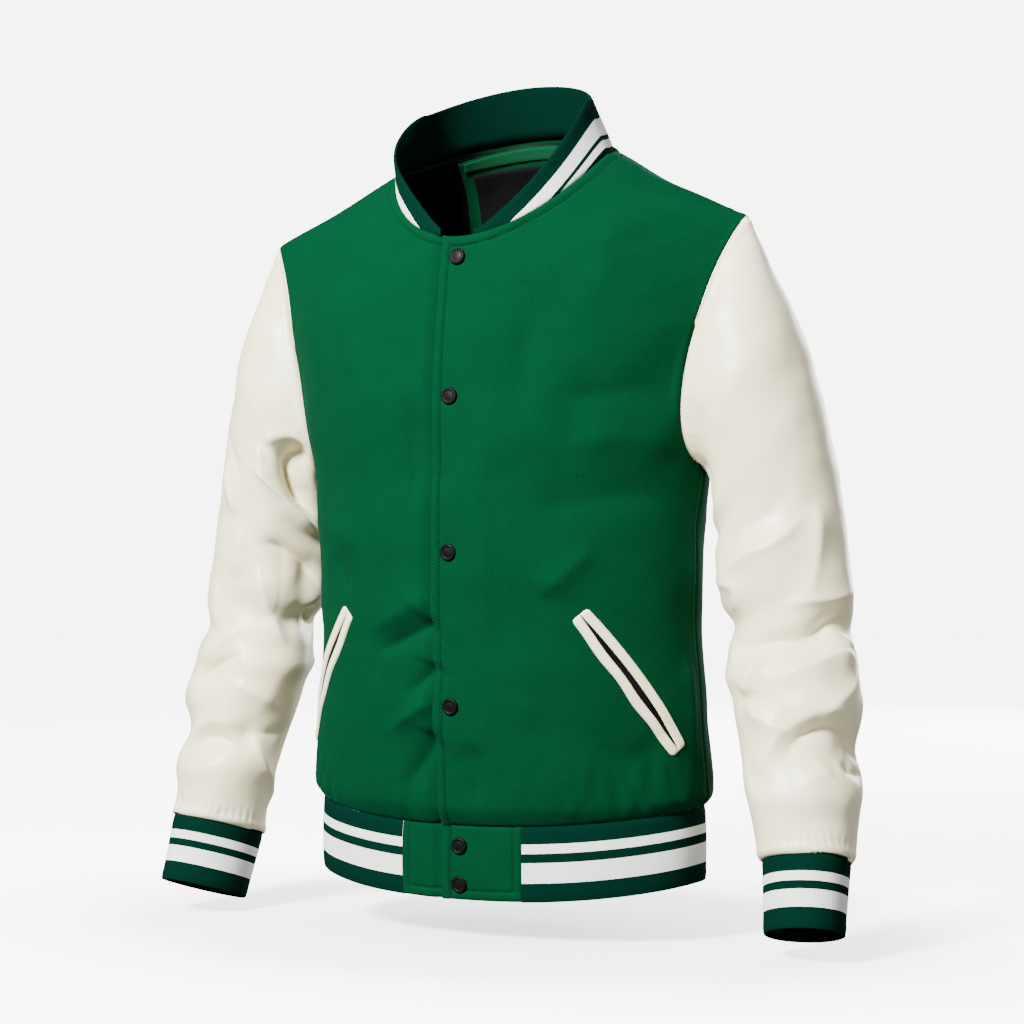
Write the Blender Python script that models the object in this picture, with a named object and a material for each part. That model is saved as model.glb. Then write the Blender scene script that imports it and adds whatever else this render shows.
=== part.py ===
"""Varsity jacket: wool body, leather sleeves, striped ribs, snap front.

The jacket keeps the hollow form it has when it is worn. It is a set of cut
pieces, each a closed wall worked out from rings of the body and the sleeves.
Millimetres in the tables, metres in the mesh. +X is the wearer's left, -Y the
front, +Z up. The origin is midway between the two neck points.
"""
from math import pi, radians

import bpy
import numpy as np

MM = 0.001

# ---- driving dimensions (mm) ------------------------------------------------
WALL = 2.0              # wool, and leather with its lining
RIB_WALL = 2.6          # doubled knit
SEAM_GAP = 0.36         # between two pieces at a seam
LAY_GAP = 0.35          # between a piece and what lies on it
HEM_HEIGHT = 66.0
EDGE_X = 18.0           # each front runs this far past the centre line
TAB_REACH = 61.0        # outer end of each hem tab from the centre line
COLLAR_HEIGHT = 55.0
COLLAR_END_LEFT = 14.0
COLLAR_END_RIGHT = 21.0
COLLAR_END_HEIGHT = 4.0         # least height, where it runs out at the front
COLLAR_FRONT_END = radians(-83)
COLLAR_SPREAD = 0.33    # how far its right front falls open
COLLAR_DROP = 0.20      # and how much lower it stands there

LINING_DEPTH = 3.3      # from the outer face of the wool
LINING_WALL = 1.0
LINING_BACK_OFF = 2.4   # the lining stops this far short of each seam
FACING_DEPTH = 6.4
FACING_WALL = 1.2
LABEL_DEPTH = 8.3
LABEL_WALL = 1.0
TAPE_DEPTH = 8.6

SNAP_RADIUS = 7.8
SNAP_HEIGHTS = (-100.0, -228.0, -369.0, -508.0, -635.0, -670.0)

# ---- body rings, hem seam to neckline ---------------------------------------
# level, side z, front z, back z, half width, front depth, back depth,
# centre y, squareness, rise (how late the ring leaves its side height),
# tuck (how fast its depth fades toward the sides)
BODY_RINGS = np.array((
    (0.00, -601, -617, -610, 193, 101, 102, -2, 2.15, 1.80, 0.93),
    (0.03, -588, -598, -596, 200, 110, 109, -2, 2.15, 1.80, 0.93),
    (0.13, -520, -528, -526, 195, 116, 111, -3, 2.15, 1.80, 0.93),
    (0.30, -430, -440, -436, 191, 119, 106, -3, 2.15, 1.80, 0.93),
    (0.46, -355, -368, -352, 192, 121, 110, -4, 2.15, 1.80, 0.94),
    (0.60, -290, -306, -276, 200, 119, 122, -5, 2.12, 1.80, 1.00),
    (0.70, -224, -250, -205, 219, 115, 128, -9, 2.08, 1.85, 1.12),
    (0.80, -138, -192, -122, 238, 107, 128, -14, 2.02, 2.00, 1.30),
    (0.88, -68, -148, -54, 247, 98, 120, -18, 2.00, 2.10, 1.42),
    (0.90, -60, -138, -40, 233, 97, 115, -17, 2.00, 2.05, 1.42),
    (0.94, -37, -116, -10, 181, 95, 101, -15, 2.00, 1.80, 1.32),
    (1.00, 0, -81, 34, 108, 92, 80, -12, 1.95, 1.35, 1.06),
))
UNDERARM_LEVEL = 0.60
YOKE_SPREAD = 0.10
YOKE_WEIGHTS = ((-1.0, 0.15), (-0.5, 0.22), (0.0, 0.26), (0.5, 0.22), (1.0, 0.15))
SHOULDER_LEVEL = 0.88
ARMHOLE_FRONT = radians(27)
ARMHOLE_BACK = radians(28)

# ---- sleeve rings, armhole to cuff ------------------------------------------
# reach, outer x, z, y, inner x, z, y, half depth
SLEEVE_RINGS = np.array((
    (0.00, 247, -68, -18, 200, -290, -5, 50),
    (0.08, 268, -116, -12, 206, -297, 0, 60),
    (0.18, 290, -172, -2, 207, -316, 5, 65),
    (0.28, 307, -235, 5, 207, -340, 9, 65),
    (0.38, 320, -300, 8, 209, -370, 9, 61),
    (0.50, 331, -372, 6, 215, -412, 6, 57),
    (0.62, 340, -445, -2, 225, -464, -2, 54),
    (0.75, 347, -520, -13, 238, -524, -15, 51),
    (0.88, 351, -590, -26, 254, -588, -30, 48),
    (1.00, 348, -634, -34, 268, -642, -36, 46),
))
CAP_BLEND = 0.16        # the sleeve takes the armhole's shape up to here
WRIST_BLEND = 0.88      # and the cuff's shape from here

# largest folds of a sleeve: reach, angle, length along, half turn, depth
SLEEVE_FOLDS = np.array((
    (0.56, 150, 0.030, 75, -9.0),
    (0.61, 20, 0.028, 70, -7.0),
    (0.66, 150, 0.030, 80, 5.0),
    (0.72, 40, 0.030, 70, 5.0),
    (0.79, 10, 0.028, 80, -6.0),
    (0.86, 60, 0.030, 90, 4.0),
    (0.34, 150, 0.035, 60, -5.0),
))

# ---- cuffs ------------------------------------------------------------------
CUFF_TOP = np.array((307.0, -35.0, -638.0))
CUFF_FALL = np.array((5.0, -19.0, -61.0))
CUFF_LONG = (46.0, 43.0)       # half the oval's length at the seam, at the hand
CUFF_SHORT = (38.5, 34.5)
CUFF_TURN = radians(-58)       # the oval's long way, from +X

# ---- pockets: angle and height of each end of the slit ----------------------
POCKET_TOP = (radians(-53), -424.0)
POCKET_END = (radians(-17.5), -546.0)
WELT_WIDTH = 8.6
WELT_WALL = 1.6
WELT_LIFT = 0.6         # its underside over the front, which is faceted
SLIT_OPEN = 4.6

# ---- grid sizes -------------------------------------------------------------
ARM_ROWS = 10
YOKE_ROWS = 4
FRONT_COLUMNS = 6
BACK_COLUMNS = 12
RIB_ROWS = 2
RIGHT_ARMHOLE = BACK_COLUMNS    # the back's last column, where the right sleeve joins
SNAP_SIDES = 16

COLOURS = {
    "wool": ((0.008, 0.150, 0.070, 1.0), 0.90),
    "leather": ((0.86, 0.83, 0.72, 1.0), 0.42),
    "rib": ((0.006, 0.075, 0.042, 1.0), 0.85),
    "lining": ((0.006, 0.006, 0.007, 1.0), 0.45),
    "snap": ((0.008, 0.008, 0.009, 1.0), 0.15),
    "tape": ((0.008, 0.160, 0.080, 1.0), 0.80),
}


# ---- curves -----------------------------------------------------------------
def through(table: np.ndarray, column: int, at: np.ndarray) -> np.ndarray:
    """Read a column of a table along a smooth curve that never overshoots."""
    x, y = table[:, 0], table[:, column]
    step = np.diff(x)
    rise = np.diff(y) / step
    slope = np.zeros_like(y)
    slope[0], slope[-1] = rise[0], rise[-1]
    for i in range(1, len(x) - 1):
        if rise[i - 1] * rise[i] > 0:
            w1 = 2 * step[i] + step[i - 1]
            w2 = step[i] + 2 * step[i - 1]
            slope[i] = (w1 + w2) / (w1 / rise[i - 1] + w2 / rise[i])
    at = np.clip(at, x[0], x[-1])
    i = np.clip(np.searchsorted(x, at, side="right") - 1, 0, len(x) - 2)
    t = (at - x[i]) / step[i]
    start = y[i] * (1 + 2 * t) * (1 - t) ** 2 + step[i] * slope[i] * t * (1 - t) ** 2
    end = y[i + 1] * t * t * (3 - 2 * t) + step[i] * slope[i + 1] * t * t * (t - 1)
    return start + end


def smooth(t: np.ndarray) -> np.ndarray:
    """Ease from 0 to 1."""
    t = np.clip(t, 0, 1)
    return t * t * (3 - 2 * t)


def ring_values(level: np.ndarray, away: np.ndarray) -> np.ndarray:
    """Read BODY_RINGS, averaged over nearby levels away from the sides.

    The rings turn sharply at the shoulder point, where the cloth has a corner.
    Averaging spreads that turn over the chest and the shoulder blades.
    """
    room = np.minimum((level - 0.62) / 0.14, (1 - level) / 0.11)
    spread = YOKE_SPREAD * smooth(room) * smooth(away / 0.55)
    values = 0.0
    for offset, weight in YOKE_WEIGHTS:
        nearby = level + offset * spread
        read = [through(BODY_RINGS, column, nearby) for column in range(1, 11)]
        values = values + weight * np.stack(read)
    return values


def body(angle: np.ndarray, level: np.ndarray) -> np.ndarray:
    """Point of the body: angle 0 is the wearer's left side, -90 degrees the front."""
    angle, level = np.broadcast_arrays(np.asarray(angle, float), np.asarray(level, float))
    c, s = np.cos(angle), np.sin(angle)
    side_z, front_z, back_z, width, front, back, centre, square, rise, tuck = (
        ring_values(level, np.abs(s))
    )
    depth = np.where(s < 0, front, back)
    end_z = np.where(s < 0, front_z, back_z)
    x = width * np.sign(c) * np.abs(c) ** (2 / square)
    y = centre + depth * np.sign(s) * np.abs(s) ** tuck
    z = side_z + (end_z - side_z) * np.abs(s) ** rise
    return np.stack((x, y, z), -1)


def normals_of(surface, u: np.ndarray, v: np.ndarray) -> np.ndarray:
    """Outward unit normals of a surface from small steps along it."""
    u, v = np.broadcast_arrays(np.asarray(u, float), np.asarray(v, float))
    h = 1e-3
    along = surface(u + h, v) - surface(u - h, v)
    low, high = np.clip(v - h, 0, 1), np.clip(v + h, 0, 1)
    up = surface(u, high) - surface(u, low)
    n = np.cross(along, up)
    return n / np.linalg.norm(n, axis=-1, keepdims=True)


def armhole_place(turn: np.ndarray) -> tuple[np.ndarray, np.ndarray]:
    """Angle and level of the armhole: turn 0 is the shoulder, 90 degrees the front."""
    middle = (UNDERARM_LEVEL + SHOULDER_LEVEL) / 2
    half = (SHOULDER_LEVEL - UNDERARM_LEVEL) / 2
    s = np.sin(turn)
    return np.where(s > 0, -ARMHOLE_FRONT * s, -ARMHOLE_BACK * s), middle + half * np.cos(turn)


def cuff(turn: np.ndarray, fall: np.ndarray) -> np.ndarray:
    """Point of the left cuff: fall 0 is its seam, 1 the hand opening."""
    turn, fall = np.broadcast_arrays(np.asarray(turn, float), np.asarray(fall, float))
    axis = CUFF_FALL / np.linalg.norm(CUFF_FALL)
    long_way = np.array((np.cos(CUFF_TURN), np.sin(CUFF_TURN), 0.0))
    long_way -= axis * (long_way @ axis)
    long_way /= np.linalg.norm(long_way)
    short_way = np.cross(long_way, axis)
    short_way *= np.sign(short_way[0])
    a = CUFF_LONG[0] + (CUFF_LONG[1] - CUFF_LONG[0]) * fall
    b = CUFF_SHORT[0] + (CUFF_SHORT[1] - CUFF_SHORT[0]) * fall
    shift = turn + radians(90) + CUFF_TURN
    oval = long_way * (a * np.sin(shift))[..., None] + short_way * (b * np.cos(shift))[..., None]
    return CUFF_TOP + CUFF_FALL * fall[..., None] + oval


def plain_sleeve(turn: np.ndarray, reach: np.ndarray) -> np.ndarray:
    """Point of the left sleeve with no folds."""
    turn, reach = np.broadcast_arrays(np.asarray(turn, float), np.asarray(reach, float))
    ox, oz, oy, ix, iz, iy, depth = (through(SLEEVE_RINGS, c, reach) for c in range(1, 8))
    outer = np.stack((ox, oy, oz), -1)
    inner = np.stack((ix, iy, iz), -1)
    ring = (outer + inner) / 2 + (outer - inner) / 2 * np.cos(turn)[..., None]
    ring[..., 1] -= depth * np.sin(turn)
    cap = smooth(1 - reach / CAP_BLEND)[..., None]
    wrist = smooth((reach - WRIST_BLEND) / (1 - WRIST_BLEND))[..., None]
    ring = ring * (1 - cap) + body(*armhole_place(turn)) * cap
    return ring * (1 - wrist) + cuff(turn, 0 * reach) * wrist


def sleeve(turn: np.ndarray, reach: np.ndarray) -> np.ndarray:
    """Point of the left sleeve with its largest folds."""
    turn, reach = np.broadcast_arrays(np.asarray(turn, float), np.asarray(reach, float))
    push = np.zeros_like(reach)
    for place, angle, length, half_turn, depth in SLEEVE_FOLDS:
        away = (turn - radians(angle) + pi) % (2 * pi) - pi
        along = np.exp(-(((reach - place) / length) ** 2))
        push += depth * along * np.exp(-((away / radians(half_turn)) ** 2))
    push *= smooth(reach / 0.2) * smooth((1 - reach) / 0.1)
    return plain_sleeve(turn, reach) + normals_of(plain_sleeve, turn, reach) * push[..., None]


def hem(angle: np.ndarray, fall: np.ndarray) -> np.ndarray:
    """Point of the hem rib and its tabs: fall 0 is the seam, 1 the bottom."""
    angle, fall = np.broadcast_arrays(np.asarray(angle, float), np.asarray(fall, float))
    ring = body(angle, 0 * fall)
    ring[..., 2] -= HEM_HEIGHT * fall
    bulge = 1 + 0.008 * np.sin(pi * fall)
    return ring * np.stack((bulge, bulge, np.ones_like(bulge)), -1)


def collar(angle: np.ndarray, rise: np.ndarray) -> np.ndarray:
    """Point of the collar: rise 0 is the neckline, 1 the rolled top."""
    angle, rise = np.broadcast_arrays(np.asarray(angle, float), np.asarray(rise, float))
    c, s = np.cos(angle), np.sin(angle)
    from_side = np.where(c >= 0, angle, np.where(s > 0, pi - angle, -pi - angle))
    share = np.clip((from_side - COLLAR_FRONT_END) / -COLLAR_FRONT_END, 0, 1)
    fallen = np.where((c < 0) & (s < 0), np.sin(pi * s) ** 2, 0.0)
    height = COLLAR_HEIGHT * np.where(s > 0, 1 - 0.07 * s, np.sin(share * pi / 2))
    height = np.maximum(height * (1 - COLLAR_DROP * fallen), COLLAR_END_HEIGHT) * rise
    sideways = 0.37 - 0.36 * np.maximum(-s, 0) - COLLAR_SPREAD * fallen
    lean = np.stack((-sideways * c, np.where(s > 0, -0.43, -0.15) * s, 0.92 + 0 * s), -1)
    lean /= np.linalg.norm(lean, axis=-1, keepdims=True)
    return body(angle, 0 * rise + 1.0) + lean * height[..., None]


# ---- places on the body -----------------------------------------------------
def angle_at(x: np.ndarray, level: np.ndarray, back: bool = False) -> np.ndarray:
    """Angle at which a body ring has a given x, on the front or the back, by halving."""
    low, high = np.full_like(level, -pi), np.zeros_like(level)
    for _ in range(30):
        middle = (low + high) / 2
        below = body(middle, level)[..., 0] < x
        low, high = np.where(below, middle, low), np.where(below, high, middle)
    return -(low + high) / 2 if back else (low + high) / 2


def level_at(angle: np.ndarray, height: np.ndarray) -> np.ndarray:
    """Level at which the body has a given height, by halving."""
    low, high = np.zeros_like(angle), np.ones_like(angle)
    for _ in range(30):
        middle = (low + high) / 2
        below = body(angle, middle)[..., 2] < height
        low, high = np.where(below, middle, low), np.where(below, high, middle)
    return (low + high) / 2


def beside(angle: np.ndarray, level: np.ndarray, step: np.ndarray) -> np.ndarray:
    """Angle and level reached from a place on the body by a short step."""
    h = 1e-3
    across = (body(angle + h, level) - body(angle - h, level)) / (2 * h)
    up = (body(angle, level + h) - body(angle, level - h)) / (2 * h)
    aa, au, uu = (across * across).sum(-1), (across * up).sum(-1), (up * up).sum(-1)
    sa, su = (step * across).sum(-1), (step * up).sum(-1)
    det = aa * uu - au * au
    return np.stack((angle + (sa * uu - su * au) / det, level + (su * aa - sa * au) / det))


def mitre(one: np.ndarray, other: np.ndarray) -> np.ndarray:
    """Direction in which two walls share their end face, longer at a sharp corner."""
    cosine = (one * other).sum(-1, keepdims=True)
    return (one + other) / np.maximum(1 + cosine, 0.30)


def unit(v: np.ndarray) -> np.ndarray:
    """Scale vectors to length 1."""
    return v / np.linalg.norm(v, axis=-1, keepdims=True)


# ---- rows and columns shared by the panels ----------------------------------
SKIRT = np.array((0.0, 0.03, 0.09, 0.19, 0.33, 0.47, UNDERARM_LEVEL))
ARM = pi * np.arange(ARM_ROWS, -1, -1) / ARM_ROWS
YOKE = np.linspace(SHOULDER_LEVEL, 1.0, YOKE_ROWS + 1)
FRONT_EDGE_X = {"left": (-EDGE_X, 0.0, COLLAR_END_LEFT, 30.0, TAB_REACH),
                "right": (-EDGE_X, 0.0, COLLAR_END_RIGHT, 30.0, TAB_REACH)}
FRONT_SHARES = np.linspace(0, 1, FRONT_COLUMNS)[1:]
SLEEVE_REACH = np.array((0, 0.05, 0.11, 0.18, 0.27, 0.36, 0.45, 0.52, 0.56, 0.61, 0.66, 0.71,
                         0.76, 0.81, 0.87, 0.93, 1.0))


def panel_rows() -> tuple[np.ndarray, np.ndarray]:
    """Levels of a panel's rows, and the armhole's turn at each, or nan off it."""
    level = np.concatenate((SKIRT[:-1], armhole_place(ARM)[1], YOKE[1:]))
    turn = np.full_like(level, np.nan)
    turn[len(SKIRT) - 1:len(SKIRT) + ARM_ROWS] = ARM
    return level, turn


def front_angles(side: str, level: np.ndarray, turn: np.ndarray) -> np.ndarray:
    """Angle of each row and column of a front, centre edge to side."""
    last = np.where(np.isnan(turn), 0.0, armhole_place(np.nan_to_num(turn))[0])
    edge = [angle_at(np.full_like(level, x), level) for x in FRONT_EDGE_X[side]]
    rest = [edge[-1] + (last - edge[-1]) * share for share in FRONT_SHARES]
    return np.stack(edge + rest, 1)


def back_angles(turn: np.ndarray) -> np.ndarray:
    """Angle of each row and column of the back, left side to right side."""
    first = np.where(np.isnan(turn), 0.0, armhole_place(-np.nan_to_num(turn))[0])
    share = np.linspace(0, 1, BACK_COLUMNS + 1)
    return first[:, None] + (pi - 2 * first[:, None]) * share[None, :]


def seam_rows(turn: np.ndarray) -> np.ndarray:
    """1 for each row whose side end lies on a seam between front and back, else 0."""
    inside_hole = np.abs(np.sin(np.nan_to_num(turn))) > 1e-6
    return np.where(inside_hole, 0.0, 1.0)[:, None, None]


def panel_inward(angle: np.ndarray, level: np.ndarray, arm: dict) -> np.ndarray:
    """Direction through the wall of a panel, mitred where it meets a neighbour.

    Args:
        angle: Angle of each grid point.
        level: Level of each grid point.
        arm: Column at an armhole, mapped to the turns along it.
    Returns:
        Outward vectors, one for each grid point.
    """
    out = normals_of(body, angle, level)
    out[0] = mitre(out[0], -normals_of(hem, angle[0], 0 * angle[0]))
    out[-1] = mitre(out[-1], normals_of(collar, angle[-1], 0 * angle[-1]))
    for column, turn in arm.items():
        row = np.flatnonzero(~np.isnan(turn))
        other = normals_of(sleeve, turn[row], 0 * turn[row])
        if column == RIGHT_ARMHOLE:
            other = other * (-1, 1, 1)
        out[row, column] = mitre(out[row, column], other)
    return out


def pull(grid: np.ndarray, row: int | None, column: int | None, gap: float) -> np.ndarray:
    """Step that draws one edge of a grid back from its seam."""
    step = np.zeros_like(grid)
    if row is not None:
        inner = row + (1 if row == 0 else -1)
        step[row] = unit(grid[inner] - grid[row]) * gap
    if column is not None:
        inner = column + (1 if column == 0 else -1)
        step[:, column] = unit(grid[:, inner] - grid[:, column]) * gap
    return step


def armhole_pull(grid: np.ndarray, column: int, turn: np.ndarray, gap: float) -> np.ndarray:
    """Step that draws a panel's armhole edge away from the hole, in its surface."""
    step = np.zeros_like(grid)
    row = np.flatnonzero(~np.isnan(turn))
    edge = grid[row, column]
    tangent = unit(np.gradient(edge, axis=0))
    inner = column + (1 if column == 0 else -1)
    toward = grid[row, inner] - edge
    toward -= tangent * (toward * tangent).sum(-1, keepdims=True)
    toward[0] = grid[row[0] - 1, column] - edge[0]
    toward[-1] = grid[row[-1] + 1, column] - edge[-1]
    step[row, column] = unit(toward) * gap
    return step


# ---- meshes -----------------------------------------------------------------
def material(name: str) -> bpy.types.Material:
    """Get or make a plain Principled material from COLOURS."""
    found = bpy.data.materials.get(name)
    if found:
        return found
    made = bpy.data.materials.new(name)
    made.use_nodes = True
    shader = made.node_tree.nodes["Principled BSDF"]
    shader.inputs["Base Color"].default_value = COLOURS[name][0]
    shader.inputs["Roughness"].default_value = COLOURS[name][1]
    return made


def add_mesh(name: str, points: np.ndarray, faces: list, kind: str) -> bpy.types.Object:
    """Add a closed mesh, its points in millimetres."""
    mesh = bpy.data.meshes.new(name)
    mesh.from_pydata((points * MM).tolist(), [], faces)
    mesh.materials.append(material(kind))
    mesh.shade_smooth()
    mesh.set_sharp_from_angle(angle=radians(35))
    made = bpy.data.objects.new(name, mesh)
    bpy.context.scene.collection.objects.link(made)
    return made


def wall(name: str, outer: np.ndarray, inner: np.ndarray, kind: str,
         closed: bool = False, mirrored: bool = False) -> bpy.types.Object:
    """Close two grids, rows by columns, into one body.

    Args:
        name: The piece's name.
        outer: Points of the outer face.
        inner: Points of the inner face, on the same grid.
        kind: Key in COLOURS.
        closed: Whether the columns run all the way round.
        mirrored: Whether the piece is for the wearer's right.
    Returns:
        The piece.
    """
    rows, columns = outer.shape[:2]
    spans = columns if closed else columns - 1
    at = np.arange(rows * columns).reshape(rows, columns)
    far = at + rows * columns
    faces = []
    for i in range(rows - 1):
        for j in range(spans):
            k = (j + 1) % columns
            faces.append((at[i, j], at[i, k], at[i + 1, k], at[i + 1, j]))
            faces.append((far[i, j], far[i + 1, j], far[i + 1, k], far[i, k]))
    for j in range(spans):
        k = (j + 1) % columns
        faces.append((far[0, j], far[0, k], at[0, k], at[0, j]))
        faces.append((at[-1, j], at[-1, k], far[-1, k], far[-1, j]))
    if not closed:
        for i in range(rows - 1):
            faces.append((at[i, 0], at[i + 1, 0], far[i + 1, 0], far[i, 0]))
            faces.append((far[i, -1], far[i + 1, -1], at[i + 1, -1], at[i, -1]))
    points = np.concatenate((outer.reshape(-1, 3), inner.reshape(-1, 3)))
    faces = triangles(points, faces)
    if mirrored:
        points = points * (-1, 1, 1)
        faces = [face[::-1] for face in faces]
    return add_mesh(name, points, faces, kind)


def triangles(points: np.ndarray, faces: list) -> list:
    """Split each four-sided face along its shorter diagonal."""
    out = []
    for a, b, c, d in faces:
        if np.linalg.norm(points[a] - points[c]) <= np.linalg.norm(points[b] - points[d]):
            out += [(int(a), int(b), int(c)), (int(a), int(c), int(d))]
        else:
            out += [(int(a), int(b), int(d)), (int(b), int(c), int(d))]
    return out


# ---- the pieces -------------------------------------------------------------
def sink_of(side: str, columns: int) -> np.ndarray:
    """Depth of the right front's columns under the left front's edge."""
    sink = np.zeros(columns)
    if side == "right":
        sink[:3] = WALL + LAY_GAP + 0.2
    return sink


def front(side: str, name: str, kind: str, depth: float, thick: float,
          columns: list | None, back_off: float) -> bpy.types.Object:
    """One front, or the lining behind it.

    Args:
        side: "left" or "right".
        name: The piece's name.
        kind: Key in COLOURS.
        depth: Depth of its outer face under the outside of the wool.
        thick: Its wall.
        columns: Columns to keep, or None for all.
        back_off: How far its edges stand back from the seams.
    Returns:
        The piece.
    """
    row_level, turn = panel_rows()
    angle = front_angles(side, row_level, turn)
    level = np.broadcast_to(row_level[:, None], angle.shape)
    out = panel_inward(angle, level, {angle.shape[1] - 1: turn})
    grid = body(angle, level)
    sink = sink_of(side, angle.shape[1])[None, :, None]
    seam = seam_rows(turn)
    last = angle.shape[1] - 1
    step = (pull(grid, 0, None, back_off) + pull(grid, -1, None, back_off)
            + pull(grid, None, last, back_off) * seam
            + armhole_pull(grid, last, turn, back_off))
    outer = grid - out * (sink + depth) + step
    inner = grid - out * (sink + depth + thick) + step
    if columns is not None:
        outer, inner = outer[:, columns], inner[:, columns]
    return wall(name, outer, inner, kind, mirrored=side == "right")


def back(name: str, kind: str, depth: float, thick: float, back_off: float) -> bpy.types.Object:
    """The back, or the lining behind it."""
    row_level, turn = panel_rows()
    angle = back_angles(turn)
    level = np.broadcast_to(row_level[:, None], angle.shape)
    out = panel_inward(angle, level, {0: -turn, BACK_COLUMNS: -turn})
    grid = body(angle, level)
    seam = seam_rows(turn)
    step = (pull(grid, 0, None, back_off) + pull(grid, -1, None, back_off)
            + pull(grid, None, 0, back_off) * seam
            + pull(grid, None, BACK_COLUMNS, back_off) * seam
            + armhole_pull(grid, 0, turn, back_off)
            + armhole_pull(grid, BACK_COLUMNS, turn, back_off))
    return wall(name, grid - out * depth + step, grid - out * (depth + thick) + step, kind)


def sleeve_turns() -> np.ndarray:
    """Turn of each column round a sleeve, matching the armhole's rows."""
    return pi * np.arange(2 * ARM_ROWS) / ARM_ROWS


def build_sleeve(side: str) -> bpy.types.Object:
    """One leather sleeve, from the armhole to the cuff."""
    turn = np.broadcast_to(sleeve_turns()[None, :], (len(SLEEVE_REACH), 2 * ARM_ROWS))
    reach = np.broadcast_to(SLEEVE_REACH[:, None], turn.shape)
    grid = sleeve(turn, reach)
    out = normals_of(sleeve, turn, reach)
    hole = armhole_place(turn[0])
    out[0] = mitre(out[0], normals_of(body, *hole))
    out[-1] = mitre(out[-1], normals_of(cuff, turn[-1], 0 * turn[-1]))
    step = pull(grid, 0, None, SEAM_GAP / 2) + pull(grid, -1, None, SEAM_GAP)
    return wall(f"sleeve_{side}", grid + step, grid + step - out * WALL, "leather",
                closed=True, mirrored=side == "right")


def build_cuff(side: str) -> bpy.types.Object:
    """One cuff rib."""
    fall = np.linspace(0, 1, RIB_ROWS + 1)[:, None]
    turn = np.broadcast_to(sleeve_turns()[None, :], (RIB_ROWS + 1, 2 * ARM_ROWS))
    fall = np.broadcast_to(fall, turn.shape)
    grid = cuff(turn, fall)
    out = normals_of(cuff, turn, fall)
    out[0] = mitre(out[0], normals_of(sleeve, turn[0], 0 * turn[0] + 1))
    step = pull(grid, 0, None, SEAM_GAP)
    return wall(f"cuff_{side}", grid + step, grid + step - out * rib_depth(RIB_ROWS + 1), "rib",
                closed=True, mirrored=side == "right")


def rib_depth(rows: int, seam_row: int = 0) -> np.ndarray:
    """Wall of a rib by row: the wool's at the seam, its own past it."""
    depth = np.full((rows, 1, 1), RIB_WALL)
    depth[seam_row] = WALL
    return depth


def build_collar() -> bpy.types.Object:
    """The collar rib, from the left front round the neck to the right front."""
    left = front_angles("left", np.array([1.0]), np.array([np.nan]))[0, 2:]
    right = -pi - front_angles("right", np.array([1.0]), np.array([np.nan]))[0, 2:]
    round_back = back_angles(np.array([np.nan]))[0]
    angle = np.concatenate((left, round_back[1:-1], (right + 2 * pi)[::-1]))
    rise = np.linspace(0, 1, 4)
    angle = np.broadcast_to(angle[None, :], (4, len(angle)))
    rise = np.broadcast_to(rise[:, None], angle.shape)
    grid = collar(angle, rise)
    out = normals_of(collar, angle, rise)
    out[0] = mitre(out[0], normals_of(body, angle[0], 0 * angle[0] + 1))
    step = pull(grid, 0, None, SEAM_GAP / 2)
    return wall("rib_collar", grid + step, grid + step - out * rib_depth(4), "rib")


def build_hem() -> bpy.types.Object:
    """The hem rib, from tab to tab round the back."""
    left = front_angles("left", np.array([0.0]), np.array([np.nan]))[0, 4:]
    right = -pi - front_angles("right", np.array([0.0]), np.array([np.nan]))[0, 4:]
    round_back = back_angles(np.array([np.nan]))[0]
    angle = np.concatenate((left, round_back[1:-1], (right + 2 * pi)[::-1]))
    return hem_piece("rib_hem", angle, "rib", RIB_WALL, ends=True)


def hem_piece(name: str, angle: np.ndarray, kind: str, thick: float, ends: bool,
              sink: np.ndarray | None = None, mirrored: bool = False) -> bpy.types.Object:
    """A stretch of the hem, bottom row first."""
    rows = RIB_ROWS + 1
    fall = np.linspace(1, 0, rows)
    angle = np.broadcast_to(angle[None, :], (rows, len(angle)))
    fall = np.broadcast_to(fall[:, None], angle.shape)
    grid = hem(angle, fall)
    out = -normals_of(hem, angle, fall)
    out[-1] = mitre(out[-1], normals_of(body, angle[-1], 0 * angle[-1]))
    step = pull(grid, -1, None, SEAM_GAP / 2) + pull(grid, None, -1, SEAM_GAP / 2)
    if ends:
        step = step + pull(grid, None, 0, SEAM_GAP / 2)
    low = 0.0 if sink is None else sink[None, :, None]
    depth = np.full((rows, 1, 1), thick)
    depth[-1] = WALL
    return wall(name, grid + step - out * low, grid + step - out * (low + depth), kind,
                mirrored=mirrored)


def build_tab(side: str) -> bpy.types.Object:
    """One wool tab that closes the hem rib under a front."""
    angle = front_angles(side, np.array([0.0]), np.array([np.nan]))[0, :5]
    return hem_piece(f"hem_tab_{side}", angle, "wool", WALL, ends=False,
                     sink=sink_of(side, 5), mirrored=side == "right")


def pocket_strip(share: np.ndarray, low: np.ndarray, high: np.ndarray,
                 lift: float, thick: float) -> tuple[np.ndarray, np.ndarray]:
    """Outer and inner faces of a strip along the pocket's slit.

    Args:
        share: Places along the slit, 0 at its upper end.
        low: Distance of the strip's lower edge from the slit's middle.
        high: Distance of its upper edge.
        lift: Height of its inner face over the front.
        thick: Its wall.
    """
    angle = POCKET_TOP[0] + (POCKET_END[0] - POCKET_TOP[0]) * share
    height = POCKET_TOP[1] + (POCKET_END[1] - POCKET_TOP[1]) * share
    level = level_at(angle, height)
    middle = body(angle, level)
    side_way = np.cross(normals_of(body, angle, level), unit(np.gradient(middle, axis=0)))
    rows = []
    for distance in (high, low):
        at = beside(angle, level, side_way * distance[:, None])
        out = normals_of(body, *at)
        rows.append((body(*at) + out * (lift + thick), body(*at) + out * lift))
    outer = np.stack([row[0] for row in rows])
    return outer, np.stack([row[1] for row in rows])


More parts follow.
